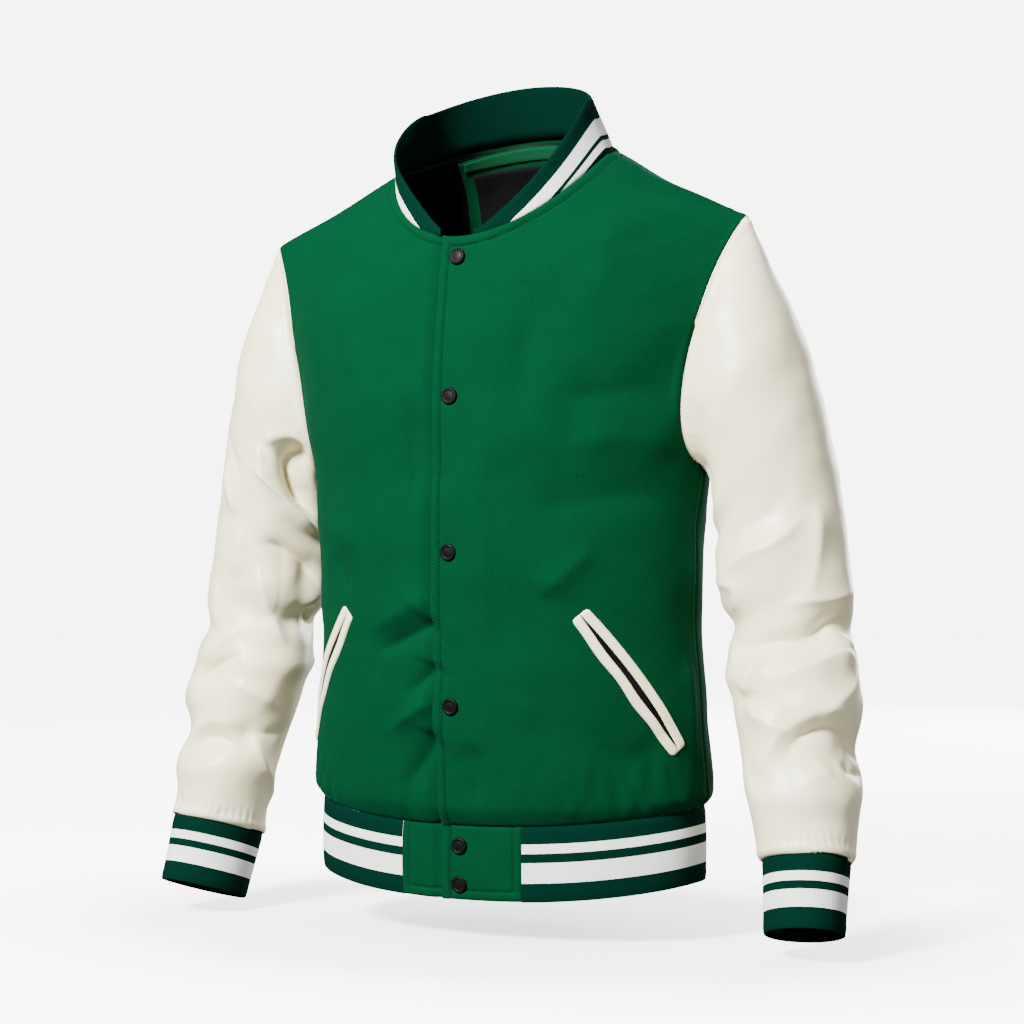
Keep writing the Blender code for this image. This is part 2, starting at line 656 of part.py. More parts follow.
def build_pocket(side: str) -> None:
    """Two leather welts either side of a slit, and the black cloth seen in it."""
    share = np.linspace(0, 1, 11)
    open_half = SLIT_OPEN / 2 * np.sin(pi * share) + 0.25
    for name, low, high in (("lower", -open_half - WELT_WIDTH, -open_half),
                            ("upper", open_half, open_half + WELT_WIDTH)):
        outer, inner = pocket_strip(share, low, high, WELT_LIFT, WELT_WALL)
        wall(f"welt_{name}_{side}", outer[::-1], inner[::-1], "leather",
             mirrored=side == "right")
    share = np.linspace(0.14, 0.86, 8)
    half = SLIT_OPEN / 2 * np.sin(pi * share) - 0.1
    outer, inner = pocket_strip(share, -half, half, WELT_LIFT, LINING_WALL)
    wall(f"pocket_mouth_{side}", outer[::-1], inner[::-1], "lining", mirrored=side == "right")


def build_snap(index: int, height: float) -> None:
    """One snap cap on the centre line, turned about its own axis."""
    angle = np.array(-pi / 2)
    if height < BODY_RINGS[0, 2]:
        fall = np.array((BODY_RINGS[0, 2] - height) / HEM_HEIGHT)
        seat, axis = hem(angle, fall), -normals_of(hem, angle, fall)
    else:
        level = level_at(angle, np.array(height))
        seat, axis = body(angle, level), normals_of(body, angle, level)
    profile = ((0.94, 0.0), (1.0, 0.5), (1.0, 1.3), (0.93, 2.3), (0.80, 2.75), (0.70, 2.4),
               (0.62, 2.2), (0.45, 2.55), (0.22, 2.75))
    around = 2 * pi * np.arange(SNAP_SIDES) / SNAP_SIDES
    across = unit(np.cross((1.0, 0.0, 0.0), axis))
    other = np.cross(axis, across)
    ring = [seat + axis * (LAY_GAP + rise) + SNAP_RADIUS * radius
            * (np.cos(around)[:, None] * other + np.sin(around)[:, None] * across)
            for radius, rise in profile]
    count = len(around)
    faces = []
    for i in range(len(profile) - 1):
        for j in range(count):
            k = (j + 1) % count
            low, high = i * count, (i + 1) * count
            faces.append((low + j, high + j, high + k, low + k))
    faces.append(tuple(range(count)))
    top = (len(profile) - 1) * count
    faces.append(tuple(range(top + count - 1, top - 1, -1)))
    add_mesh(f"snap_{index}", np.concatenate(ring), faces, "snap")


def neck_piece(name: str, kind: str, reach_x: tuple, heights: tuple, depth: float,
               thick: float, columns: int, rows: int) -> None:
    """A flat piece inside the back of the neck.

    Args:
        name: The piece's name.
        kind: Key in COLOURS.
        reach_x: Half its width at the bottom and at the top.
        heights: Height of its bottom and its top at the centre back.
        depth: Depth of its outer face under the outside of the wool.
        thick: Its wall.
        columns: Its spans across.
        rows: Its spans up.
    """
    centre = level_at(np.full(2, pi / 2), np.array(heights, float))
    level = np.linspace(centre[0], centre[1], rows + 1)
    share = np.linspace(-1, 1, columns + 1)
    half = np.linspace(reach_x[0], reach_x[1], rows + 1)
    level_grid = np.broadcast_to(level[:, None], (rows + 1, columns + 1))
    angle = angle_at(-half[:, None] * share[None, :], level_grid, back=True)
    out = normals_of(body, angle, level_grid)
    grid = body(angle, level_grid)
    wall(name, grid - out * depth, grid - out * (depth + thick), kind)


def clear_scene() -> None:
    """Remove every object of the open file."""
    for item in list(bpy.data.objects):
        bpy.data.objects.remove(item, do_unlink=True)


def main() -> None:
    """Build every piece of the jacket."""
    clear_scene()
    half_gap = SEAM_GAP / 2
    front("left", "front_left", "wool", 0.0, WALL, None, half_gap)
    front("right", "front_right", "wool", 0.0, WALL, None, half_gap)
    back("back", "wool", 0.0, WALL, half_gap)
    front("left", "lining_left", "lining", LINING_DEPTH, LINING_WALL, [3, 5, 7, 9], LINING_BACK_OFF)
    front("right", "lining_right", "lining", LINING_DEPTH, LINING_WALL,
          [0, 2, 3, 5, 7, 9], LINING_BACK_OFF)
    back("lining_back", "lining", LINING_DEPTH, LINING_WALL, LINING_BACK_OFF)
    for side in ("left", "right"):
        build_sleeve(side)
        build_cuff(side)
        build_tab(side)
        build_pocket(side)
    build_collar()
    build_hem()
    for index, height in enumerate(SNAP_HEIGHTS, 1):
        build_snap(index, height)
    neck_piece("neck_facing", "wool", (86, 82), (-72, 30), FACING_DEPTH, FACING_WALL, 12, 6)
    neck_piece("neck_label", "lining", (73, 73), (-62, 12), LABEL_DEPTH, LABEL_WALL, 8, 4)
    neck_piece("neck_tape", "tape", (80, 78), (18, 29), TAPE_DEPTH, LABEL_WALL, 14, 1)


main()
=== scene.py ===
"""Varsity jacket: the looks of its wool body, leather sleeves, ribs and snaps.

Each piece is cut on the same two blocks as its solid, one for the body and one
for a sleeve, and stands where its solid stands. Here the pieces are fine, with
folds, raised edges, knit, stitches and finishes. The blocks are in millimetres.
+X is the wearer's left, -Y the front, +Z up.
"""

import logging
from collections.abc import Callable
from dataclasses import dataclass, field
from enum import Enum
from math import cos, pi, radians, sin

import bmesh
import bpy
import numpy as np
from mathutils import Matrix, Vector


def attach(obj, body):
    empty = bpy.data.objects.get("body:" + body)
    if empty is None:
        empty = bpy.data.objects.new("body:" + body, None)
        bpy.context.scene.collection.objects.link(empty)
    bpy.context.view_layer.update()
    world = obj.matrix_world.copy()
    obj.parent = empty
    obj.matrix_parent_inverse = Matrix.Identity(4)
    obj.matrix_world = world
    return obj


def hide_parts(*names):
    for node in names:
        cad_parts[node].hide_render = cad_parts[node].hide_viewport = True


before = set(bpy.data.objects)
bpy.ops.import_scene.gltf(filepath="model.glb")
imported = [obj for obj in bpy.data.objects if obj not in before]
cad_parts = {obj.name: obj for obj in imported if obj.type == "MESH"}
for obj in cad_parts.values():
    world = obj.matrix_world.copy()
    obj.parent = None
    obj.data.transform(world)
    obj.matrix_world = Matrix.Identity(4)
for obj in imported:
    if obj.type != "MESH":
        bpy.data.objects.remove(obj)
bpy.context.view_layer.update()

log = logging.getLogger("jacket")

MM = 0.001
BODY = "root"
Array = np.ndarray
Surface = Callable[[Array, Array], Array]


class Side(Enum):
    """The wearer's side that a piece is cut for."""

    LEFT = "left"
    RIGHT = "right"

    @property
    def mirrored(self) -> bool:
        """Whether the piece is made as a mirror of the left one."""
        return self is Side.RIGHT


class Slot(Enum):
    """Material slots of the part."""

    WOOL = "wool"
    LEATHER = "leather"
    RIB = "rib"
    LINING = "lining"
    TAPE = "tape"
    SNAP = "snap"


# ---- small maths ------------------------------------------------------------
def smooth(t: Array) -> Array:
    """Ease from 0 to 1."""
    t = np.clip(t, 0, 1)
    return t * t * (3 - 2 * t)


def unit(v: Array) -> Array:
    """Scale vectors to length 1."""
    return v / np.maximum(np.linalg.norm(v, axis=-1, keepdims=True), 1e-9)


def wrap(angle: Array) -> Array:
    """Bring an angle to between minus and plus half a turn."""
    return (angle + pi) % (2 * pi) - pi


def bell(distance: Array, width: float) -> Array:
    """A soft bump, 1 at its middle and gone past twice its width."""
    return np.exp(-((distance / width) ** 2))


def through(table: Array, column: int, at: Array) -> Array:
    """Read a column of a table along a smooth curve that never overshoots.

    Args:
        table: Rows in order of their first column.
        column: The column to read.
        at: Values of the first column to read at.
    Returns:
        The values read.
    """
    x, y = table[:, 0], table[:, column]
    step = np.diff(x)
    rise = np.diff(y) / step
    slope = np.zeros_like(y)
    slope[0], slope[-1] = rise[0], rise[-1]
    for i in range(1, len(x) - 1):
        if rise[i - 1] * rise[i] > 0:
            w1 = 2 * step[i] + step[i - 1]
            w2 = step[i] + 2 * step[i - 1]
            slope[i] = (w1 + w2) / (w1 / rise[i - 1] + w2 / rise[i])
    at = np.clip(at, x[0], x[-1])
    i = np.clip(np.searchsorted(x, at, side="right") - 1, 0, len(x) - 2)
    t = (at - x[i]) / step[i]
    start = y[i] * (1 + 2 * t) * (1 - t) ** 2 + step[i] * slope[i] * t * (1 - t) ** 2
    end = y[i + 1] * t * t * (3 - 2 * t) + step[i] * slope[i + 1] * t * t * (t - 1)
    return start + end


def waves(points: Array, length: float, seed: int) -> Array:
    """Gentle unevenness of handled cloth, about -1 to 1.

    Args:
        points: Where to read it, in millimetres.
        length: Its usual wavelength in millimetres.
        seed: Chooses one pattern.
    Returns:
        One value for each point.
    """
    rng = np.random.default_rng(seed)
    total = np.zeros(points.shape[:-1])
    for _ in range(9):
        way = unit(rng.normal(size=3)) * (2 * pi / (length * rng.uniform(0.7, 1.8)))
        total += np.sin(points @ way + rng.uniform(0, 2 * pi))
    return total / 3.6


def normals_of(surface: Surface, u: Array, v: Array) -> Array:
    """Outward unit normals of a surface from small steps along it.

    Args:
        surface: Gives a point for each pair of places.
        u: Places round.
        v: Places along, 0 to 1.
    Returns:
        Unit vectors.
    """
    u, v = np.broadcast_arrays(np.asarray(u, float), np.asarray(v, float))
    h = 1e-3
    along = surface(u + h, v) - surface(u - h, v)
    up = surface(u, np.clip(v + h, 0, 1)) - surface(u, np.clip(v - h, 0, 1))
    return unit(np.cross(along, up))


def grid_normals(grid: Array, closed: bool) -> Array:
    """Unit normals of a grid of points, rows up and columns round.

    Args:
        grid: Points, rows by columns.
        closed: Whether the columns run all the way round.
    Returns:
        Unit vectors on the same grid.
    """
    if closed:
        around = np.roll(grid, -1, axis=1) - np.roll(grid, 1, axis=1)
    else:
        around = np.gradient(grid, axis=1)
    return unit(np.cross(around, np.gradient(grid, axis=0)))


def run_lengths(grid: Array, axis: int) -> Array:
    """Length along a grid from its first row or column, in millimetres."""
    step = np.linalg.norm(np.diff(grid, axis=axis), axis=-1)
    pad = [(0, 0), (0, 0)]
    pad[axis] = (1, 0)
    return np.pad(np.cumsum(step, axis=axis), pad)


def mitre(one: Array, other: Array) -> Array:
    """Direction in which two walls share their end face, longer at a sharp corner."""
    cosine = (one * other).sum(-1, keepdims=True)
    return (one + other) / np.maximum(1 + cosine, 0.30)


# ---- folds ------------------------------------------------------------------
@dataclass(frozen=True)
class Fold:
    """One fold, a soft line laid out one by one.

    Its three places are (place along, degrees round). Depth is in millimetres,
    above 0 raised. It slopes away over about `before` toward the lower places
    and `after` toward the higher ones, and `crest` rounds its line.
    """

    start: tuple[float, float]
    middle: tuple[float, float]
    end: tuple[float, float]
    depth: float
    before: float
    after: float
    crest: float
    ends: tuple[float, float] = (0.35, 0.35)

    def line(self, count: int = 20) -> Array:
        """Points of the fold's line, as places along and radians round."""
        a, m, b = (np.array((p[0], radians(p[1]))) for p in (self.start, self.middle, self.end))
        bend = 2 * m - (a + b) / 2
        t = np.linspace(0, 1, count + 1)[:, None]
        return (1 - t) ** 2 * a + 2 * t * (1 - t) * bend + t * t * b

    def push(self, place: Array, turn: Array, length: Array, radius: Array) -> Array:
        """How far the fold moves each point, in millimetres.

        Args:
            place: Place along of each point.
            turn: Angle round of each point.
            length: Millimetres for one unit of place, at each point.
            radius: Millimetres for one radian, at each point.
        Returns:
            Distance outward.
        """
        line = self.line()
        count = len(line) - 1
        best = np.full(place.shape, 1e9)
        where, side = np.zeros(place.shape), np.zeros(place.shape)
        for i in range(count):
            (pa, ta), (pb, tb) = line[i], line[i + 1]
            ax, ay = (place - pa) * length, wrap(turn - ta) * radius
            bx, by = (pb - pa) * length, (tb - ta) * radius
            t = np.clip((ax * bx + ay * by) / np.maximum(bx * bx + by * by, 1e-9), 0, 1)
            dx, dy = ax - t * bx, ay - t * by
            gap = np.hypot(dx, dy)
            near = gap < best
            best = np.where(near, gap, best)
            where = np.where(near, (i + t) / count, where)
            side = np.where(near, dx, side)
        taper = smooth(where / self.ends[0]) * smooth((1 - where) / self.ends[1])
        lean = side / np.maximum(best, 1e-6)
        reach = (self.before + self.after) / 2 + (self.after - self.before) / 2 * lean
        reach = reach * (0.6 + 0.4 * taper)
        rounding = 0.8 * self.crest
        return self.depth * taper * np.exp(-(np.hypot(best, rounding) - rounding) / reach)


@dataclass(frozen=True)
class Bulge:
    """A round rise or hollow: place along, degrees round, half sizes and depth."""

    place: float
    turn: float
    along: float
    around: float
    depth: float

    def push(self, place: Array, turn: Array, length: Array, radius: Array) -> Array:
        """How far the bulge moves each point, in millimetres, as Fold.push does."""
        a = (place - self.place) * length / self.along
        b = wrap(turn - radians(self.turn)) * radius / self.around
        return self.depth * np.exp(-(a * a) - b * b)


BODY_FOLDS = (
    # left front: drag lines from the armhole, and the long roll beside the snaps
    Fold((0.735, -68), (0.712, -47), (0.69, -22), -3.6, 22, 18, 10),
    Fold((0.645, -62), (0.652, -42), (0.62, -16), 2.6, 18, 18, 10),
    Fold((0.52, -72), (0.558, -50), (0.53, -10), -3.8, 20, 26, 12),
    Fold((0.36, -67), (0.41, -58), (0.46, -48), 3.2, 14, 13, 6),
    Fold((0.74, -83), (0.52, -81), (0.26, -82), 2.4, 13, 13, 7),
    Fold((0.91, -65), (0.80, -71), (0.66, -77), -2.8, 16, 16, 9),
    Fold((0.965, -36), (0.90, -51), (0.80, -62), 2.2, 20, 20, 12),
    Fold((0.29, -74), (0.20, -69), (0.11, -73), 1.6, 15, 15, 8),
    Fold((0.12, -87), (0.075, -85), (0.02, -82), -2.6, 9, 9, 4),
    Fold((0.79, -25), (0.70, -19), (0.61, -11), -3.2, 11, 11, 5),
    Fold((0.14, -52), (0.09, -36), (0.13, -14), -2.0, 14, 14, 7),
    Fold((0.24, -12), (0.16, -6), (0.05, -9), 2.4, 12, 12, 6),
    # right front: sharper ones where it tucks under the placket
    Fold((0.76, -98), (0.65, -101), (0.53, -102), -3.2, 10, 10, 5),
    Fold((0.245, -116), (0.285, -103), (0.325, -94), -5.6, 8, 12, 2.5, (0.5, 0.2)),
    Fold((0.18, -106), (0.21, -99), (0.25, -94), -4.4, 8, 9, 2.5, (0.5, 0.2)),
    Fold((0.035, -109), (0.08, -99), (0.13, -94), -4.8, 9, 9, 2.5, (0.5, 0.2)),
    Fold((0.105, -115), (0.15, -102), (0.175, -94), 4.2, 9, 9, 3.0, (0.5, 0.2)),
    Fold((0.29, -118), (0.335, -104), (0.38, -95), 2.8, 12, 14, 6),
    Fold((0.44, -142), (0.40, -132), (0.34, -127), -2.4, 9, 9, 4),
    Fold((0.92, -128), (0.80, -118), (0.58, -112), 2.2, 20, 20, 12),
    Fold((0.78, -155), (0.69, -160), (0.60, -168), -3.4, 11, 11, 5),
    Fold((0.44, -118), (0.50, -140), (0.47, -170), 2.2, 18, 18, 10),
    Fold((0.30, -150), (0.24, -162), (0.26, -176), -2.8, 12, 14, 5),
    # back: drags from both armholes, and slack above the rib
    Fold((0.87, 58), (0.75, 68), (0.60, 77), -3.2, 20, 20, 11),
    Fold((0.88, 121), (0.74, 111), (0.58, 104), -2.6, 18, 18, 10),
    Fold((0.72, 26), (0.66, 46), (0.635, 72), -3.6, 16, 20, 8),
    Fold((0.70, 155), (0.665, 131), (0.64, 108), -3.2, 15, 18, 8),
    Fold((0.80, 30), (0.73, 42), (0.69, 60), 2.4, 14, 14, 7),
    Fold((0.53, 12), (0.465, 44), (0.49, 82), 2.9, 20, 18, 10),
    Fold((0.44, 168), (0.425, 134), (0.46, 99), 2.4, 18, 16, 9),
    Fold((0.29, 14), (0.335, 48), (0.30, 84), -3.3, 14, 17, 6),
    Fold((0.21, 163), (0.265, 127), (0.25, 96), -3.0, 12, 15, 5),
    Fold((0.15, 24), (0.115, 57), (0.155, 88), 2.6, 12, 10, 5),
    Fold((0.09, 152), (0.13, 121), (0.105, 98), 2.8, 10, 11, 4),
    Fold((0.59, 91), (0.40, 86), (0.17, 93), -2.2, 22, 22, 12),
    Fold((0.06, 38), (0.045, 66), (0.07, 96), -2.2, 9, 9, 4),
    Fold((0.94, 70), (0.93, 90), (0.94, 110), -1.6, 12, 14, 8),
)

LEFT_SLEEVE_FOLDS = (
    # upper arm
    Fold((0.41, 152), (0.392, 96), (0.372, 48), -3.6, 18, 12, 8),
    Fold((0.455, 168), (0.447, 102), (0.418, 36), 4.6, 14, 9, 3.5),
    Fold((0.40, 36), (0.48, 40), (0.565, 58), 3.4, 10, 10, 4),
    Fold((0.455, 160), (0.50, 118), (0.548, 148), 3.8, 7, 7, 2.0),
    Fold((0.06, 168), (0.18, 150), (0.33, 152), -3.8, 9, 9, 4),
    Fold((0.02, 118), (0.10, 108), (0.22, 112), 1.8, 12, 12, 7),
    # elbow
    Fold((0.585, 168), (0.606, 76), (0.566, -26), -7.5, 9, 13, 2.0),
    Fold((0.548, 82), (0.556, 32), (0.560, -22), 4.2, 12, 5, 1.8),
    Fold((0.592, 42), (0.618, 20), (0.655, -8), 4.0, 7, 7, 1.6),
    Fold((0.612, 158), (0.628, 122), (0.622, 88), 3.2, 6, 9, 2.0),
    # forearm
    Fold((0.618, 92), (0.660, 112), (0.706, 118), 5.0, 9, 9, 1.8),
    Fold((0.704, 124), (0.738, 104), (0.750, 76), 4.4, 7, 11, 1.8),
    Fold((0.742, 84), (0.786, 104), (0.832, 124), 3.2, 8, 8, 2.2),
    Fold((0.690, 92), (0.646, 46), (0.672, -10), 4.4, 7, 12, 2.2),
    Fold((0.668, -12), (0.702, 24), (0.742, 56), 3.4, 9, 7, 2.0),
    Fold((0.806, 94), (0.750, 46), (0.818, -22), -5.6, 5, 11, 1.8),
    Fold((0.778, 96), (0.724, 52), (0.772, -14), 2.4, 9, 5, 2.0),
    Fold((0.795, 30), (0.815, 8), (0.830, -20), -3.4, 5, 6, 2.0),
    Fold((0.804, 38), (0.826, 56), (0.852, 78), 2.6, 11, 11, 3.0),
    Fold((0.720, 150), (0.700, 172), (0.724, 196), -3.6, 9, 9, 2.5),
    Fold((0.835, 140), (0.862, 118), (0.885, 96), 1.8, 10, 10, 4.0),
    # inner and back of the arm
    Fold((0.575, 186), (0.604, 246), (0.578, 325), -6.6, 8, 13, 2.2),
    Fold((0.535, 196), (0.548, 252), (0.552, 318), 3.8, 12, 6, 2.2),
    Fold((0.628, 196), (0.662, 236), (0.640, 306), 4.4, 7, 12, 2.2),
    Fold((0.700, 206), (0.722, 258), (0.686, 328), -4.8, 7, 12, 2.0),
    Fold((0.752, 192), (0.772, 246), (0.742, 304), 3.8, 9, 9, 2.2),
    Fold((0.800, 216), (0.824, 266), (0.792, 336), -4.2, 6, 11, 2.0),
    Fold((0.866, 202), (0.852, 246), (0.872, 298), 2.2, 11, 11, 4.0),
    Fold((0.395, 188), (0.432, 238), (0.405, 296), -3.6, 16, 11, 5),
    Fold((0.475, 178), (0.488, 226), (0.452, 286), 3.6, 12, 8, 3.0),
    Fold((0.06, 196), (0.18, 198), (0.34, 188), -3.8, 9, 9, 4),
    Fold((0.05, 238), (0.16, 246), (0.28, 232), 2.4, 14, 14, 8),
    Bulge(0.695, 60, 20, 22, 3.0),
    Bulge(0.470, 84, 22, 26, 2.0),
    Bulge(0.660, 280, 20, 22, 2.4),
)

RIGHT_SLEEVE_FOLDS = (
    # the deep hollow by the armhole, and the rolls round it
    Fold((0.035, 136), (0.12, 116), (0.190, 100), 5.0, 14, 5, 2.2, (0.25, 0.35)),
    Fold((0.060, 152), (0.175, 134), (0.27, 166), -11.5, 12, 12, 5, (0.2, 0.3)),
    Fold((0.275, 88), (0.272, 130), (0.335, 176), 6.0, 10, 9, 1.8),
    Fold((0.195, 98), (0.235, 104), (0.275, 112), 3.0, 8, 8, 3),
    Fold((0.435, 98), (0.408, 142), (0.50, 190), -8.6, 9, 15, 3.0),
    Fold((0.315, 52), (0.355, 64), (0.395, 82), 3.8, 8, 8, 1.8),
    Fold((0.385, 92), (0.450, 85), (0.510, 89), 3.2, 8, 8, 2.2),
    Fold((0.455, 106), (0.540, 122), (0.625, 152), 5.6, 11, 7, 2.2),
    Fold((0.28, 34), (0.30, 60), (0.33, 84), -3.0, 14, 8, 4),
    # elbow
    Fold((0.640, 108), (0.670, 84), (0.705, 46), -5.8, 5, 12, 2.0),
    Fold((0.590, 104), (0.636, 78), (0.668, 44), 3.4, 12, 6, 2.2),
    Fold((0.520, 52), (0.560, 66), (0.615, 70), 2.4, 10, 10, 4),
    Fold((0.530, 168), (0.575, 196), (0.560, 240), -6.0, 8, 12, 2.4),
    Fold((0.560, 22), (0.592, -6), (0.588, -48), -6.2, 8, 12, 2.2),
    # forearm
    Fold((0.690, 92), (0.715, 128), (0.748, 168), 4.2, 12, 8, 2.4),
    Fold((0.775, 104), (0.805, 150), (0.785, 206), -4.6, 7, 12, 2.6),
    Fold((0.870, 40), (0.802, 84), (0.832, 132), -5.0, 4, 11, 1.8),
    Fold((0.842, 36), (0.778, 84), (0.806, 134), 2.8, 9, 5, 2.0),
    Fold((0.790, 138), (0.845, 162), (0.892, 184), 3.8, 7, 7, 2.0),
    Fold((0.855, 168), (0.895, 194), (0.922, 216), 3.2, 6, 6, 1.8),
    Fold((0.745, 44), (0.752, 16), (0.738, -22), 3.0, 9, 9, 2.6),
    Fold((0.905, 64), (0.935, 56), (0.965, 52), -2.6, 5, 5, 2.0),
    Fold((0.935, 118), (0.960, 128), (0.985, 134), -1.8, 5, 5, 2.0),
    # back of the arm
    Fold((0.560, 252), (0.598, 292), (0.580, 338), -6.0, 8, 13, 2.2),
    Fold((0.520, 206), (0.532, 258), (0.542, 322), 3.8, 12, 6, 2.2),
    Fold((0.636, 200), (0.656, 248), (0.632, 312), 4.2, 7, 12, 2.2),
    Fold((0.708, 212), (0.716, 262), (0.694, 332), -4.6, 7, 12, 2.0),
    Fold((0.760, 222), (0.766, 262), (0.752, 310), 3.4, 9, 9, 2.2),
    Fold((0.822, 232), (0.830, 276), (0.806, 342), -4.0, 6, 11, 2.0),
    Fold((0.385, 196), (0.420, 244), (0.398, 300), -3.8, 16, 11, 5),
    Fold((0.05, 204), (0.17, 206), (0.33, 196), -4.0, 9, 9, 4),
    Fold((0.07, 250), (0.18, 258), (0.30, 242), 2.4, 14, 14, 8),
    Bulge(0.205, 142, 24, 20, -4.0),
    Bulge(0.735, 66, 18, 20, 2.2),
    Bulge(0.360, 118, 18, 20, 2.4),
    Bulge(0.500, 160, 26, 18, -3.0),
)


# ---- the two blocks ---------------------------------------------------------
@dataclass(frozen=True)
class BodyBlock:
    """The form of the body, from the hem seam to the neckline, with hem and collar.

    Rings: level, side z, front z, back z, half width, front depth, back depth,
    centre y, squareness, rise and tuck.
    """

    rings: Array = field(default_factory=lambda: np.array((
        (0.00, -601, -617, -610, 193, 101, 102, -2, 2.15, 1.80, 0.93),
        (0.03, -588, -598, -596, 200, 110, 109, -2, 2.15, 1.80, 0.93),
        (0.13, -520, -528, -526, 195, 116, 111, -3, 2.15, 1.80, 0.93),
        (0.30, -430, -440, -436, 191, 119, 106, -3, 2.15, 1.80, 0.93),
        (0.46, -355, -368, -352, 192, 121, 110, -4, 2.15, 1.80, 0.94),
        (0.60, -290, -306, -276, 200, 119, 122, -5, 2.12, 1.80, 1.00),
        (0.70, -224, -250, -205, 219, 115, 128, -9, 2.08, 1.85, 1.12),
        (0.80, -138, -192, -122, 238, 107, 128, -14, 2.02, 2.00, 1.30),
        (0.88, -68, -148, -54, 247, 98, 120, -18, 2.00, 2.10, 1.42),
        (0.90, -60, -138, -40, 233, 97, 115, -17, 2.00, 2.05, 1.42),
        (0.94, -37, -116, -10, 181, 95, 101, -15, 2.00, 1.80, 1.32),
        (1.00, 0, -81, 34, 108, 92, 80, -12, 1.95, 1.35, 1.06))))
    underarm: float = 0.60
    shoulder: float = 0.88
    yoke_spread: float = 0.10
    armhole_front: float = radians(27)
    armhole_back: float = radians(28)
    hem_height: float = 66.0
    collar_height: float = 55.0
    collar_end_height: float = 4.0
    collar_front_end: float = radians(-83)
    collar_spread: float = 0.33
    collar_drop: float = 0.20
    folds: tuple = BODY_FOLDS
    fold_gain: float = 1.7
    slack: float = 0.9

    def ring_values(self, level: Array, away: Array) -> Array:
        """Read the rings, averaged over nearby levels away from the sides.

        Args:
            level: Level of each point.
            away: How far each point is from the sides, 0 to 1.
        Returns:
            The ten values of a ring for each point.
        """
        room = np.minimum((level - 0.62) / 0.14, (1 - level) / 0.11)
        spread = self.yoke_spread * smooth(room) * smooth(away / 0.55)
        values = 0.0
        weights = ((-1.0, 0.15), (-0.5, 0.22), (0.0, 0.26), (0.5, 0.22), (1.0, 0.15))
        for offset, weight in weights:
            nearby = level + offset * spread
            read = [through(self.rings, column, nearby) for column in range(1, 11)]
            values = values + weight * np.stack(read)
        return values

    def plain(self, angle: Array, level: Array) -> Array:
        """Point of the body with no folds: angle 0 is the left side, -90 the front."""
        angle, level = np.broadcast_arrays(np.asarray(angle, float), np.asarray(level, float))
        c, s = np.cos(angle), np.sin(angle)
        side_z, front_z, back_z, width, front, back, centre, square, rise, tuck = (
            self.ring_values(level, np.abs(s)))
        depth = np.where(s < 0, front, back)
        end_z = np.where(s < 0, front_z, back_z)
        x = width * np.sign(c) * np.abs(c) ** (2 / square)
        y = centre + depth * np.sign(s) * np.abs(s) ** tuck
        z = side_z + (end_z - side_z) * np.abs(s) ** rise
        return np.stack((x, y, z), -1)

    def armhole(self, turn: Array) -> tuple[Array, Array]:
        """Angle and level of the armhole: turn 0 is the shoulder, 90 degrees the front."""
        middle = (self.underarm + self.shoulder) / 2
        half = (self.shoulder - self.underarm) / 2
        s = np.sin(turn)
        angle = np.where(s > 0, -self.armhole_front * s, -self.armhole_back * s)
        return angle, middle + half * np.cos(turn)

    def off_armhole(self, angle: Array, level: Array) -> Array:
        """Rough distance in millimetres of each point from the armhole seams."""
        middle = (self.underarm + self.shoulder) / 2
        half = (self.shoulder - self.underarm) / 2
        from_side = np.minimum(np.abs(wrap(angle)), np.abs(wrap(angle - pi)))
        ellipse = np.hypot((level - middle) / half, from_side / self.armhole_front)
        return np.maximum(ellipse - 1, 0) * 95

    def push(self, angle: Array, level: Array, points: Array) -> Array:
        """How far the folds and the slack of the wool move each point."""
        length = np.interp(level, (0, 0.6, 0.88, 1), (0, 312, 535, 665))
        scale = np.interp(level, (0, 0.55, 0.7, 1), (520, 520, 790, 1080))
        warp = waves(points, 90, 3)
        place = level + 0.008 * warp
        turn = angle + 0.03 * waves(points, 110, 4)
        total = np.zeros(level.shape)
        for fold in self.folds:
            total += self.fold_gain * fold.push(place, turn, scale, np.full(level.shape, 172.0))
        total += self.slack * waves(points, 85, 5) + 0.22 * waves(points, 34, 6)
        gathers = np.sin(angle * 41 + 2 * waves(points, 120, 7)) * waves(points, 60, 8)
        total += 1.3 * gathers * bell(length - 14, 24)
        total *= smooth(length / 16) * smooth((665 - length) / 22)
        return total * smooth(self.off_armhole(angle, level) / 16)

    def draped(self, angle: Array, level: Array) -> Array:
        """Point of the body with its folds."""
        angle, level = np.broadcast_arrays(np.asarray(angle, float), np.asarray(level, float))
        points = self.plain(angle, level)
        push = self.push(angle, level, points)
        return points + normals_of(self.plain, angle, level) * push[..., None]

    def hem(self, angle: Array, fall: Array) -> Array:
        """Point of the hem rib and its tabs: fall 0 is the seam, 1 the bottom."""
        angle, fall = np.broadcast_arrays(np.asarray(angle, float), np.asarray(fall, float))
        ring = self.plain(angle, 0 * fall)
        ring[..., 2] -= self.hem_height * fall
        bulge = 1 + 0.008 * np.sin(pi * fall)
        return ring * np.stack((bulge, bulge, np.ones_like(bulge)), -1)

    def collar_fallen(self, angle: Array) -> Array:
        """How far one front corner of the collar has fallen at each angle, 0 to 1."""
        c, s = np.cos(angle), np.sin(angle)
        return np.where((c < 0) & (s < 0), np.sin(pi * s) ** 2, 0.0)

    def collar_rise(self, angle: Array) -> Array:
        """Height of the collar along its lean at each angle."""
        c, s = np.cos(angle), np.sin(angle)
        from_side = np.where(c >= 0, angle, np.where(s > 0, pi - angle, -pi - angle))
        share = np.clip((from_side - self.collar_front_end) / -self.collar_front_end, 0, 1)
        height = self.collar_height * np.where(s > 0, 1 - 0.07 * s, np.sin(share * pi / 2))
        height = height * (1 - self.collar_drop * self.collar_fallen(angle))
        return np.maximum(height, self.collar_end_height)

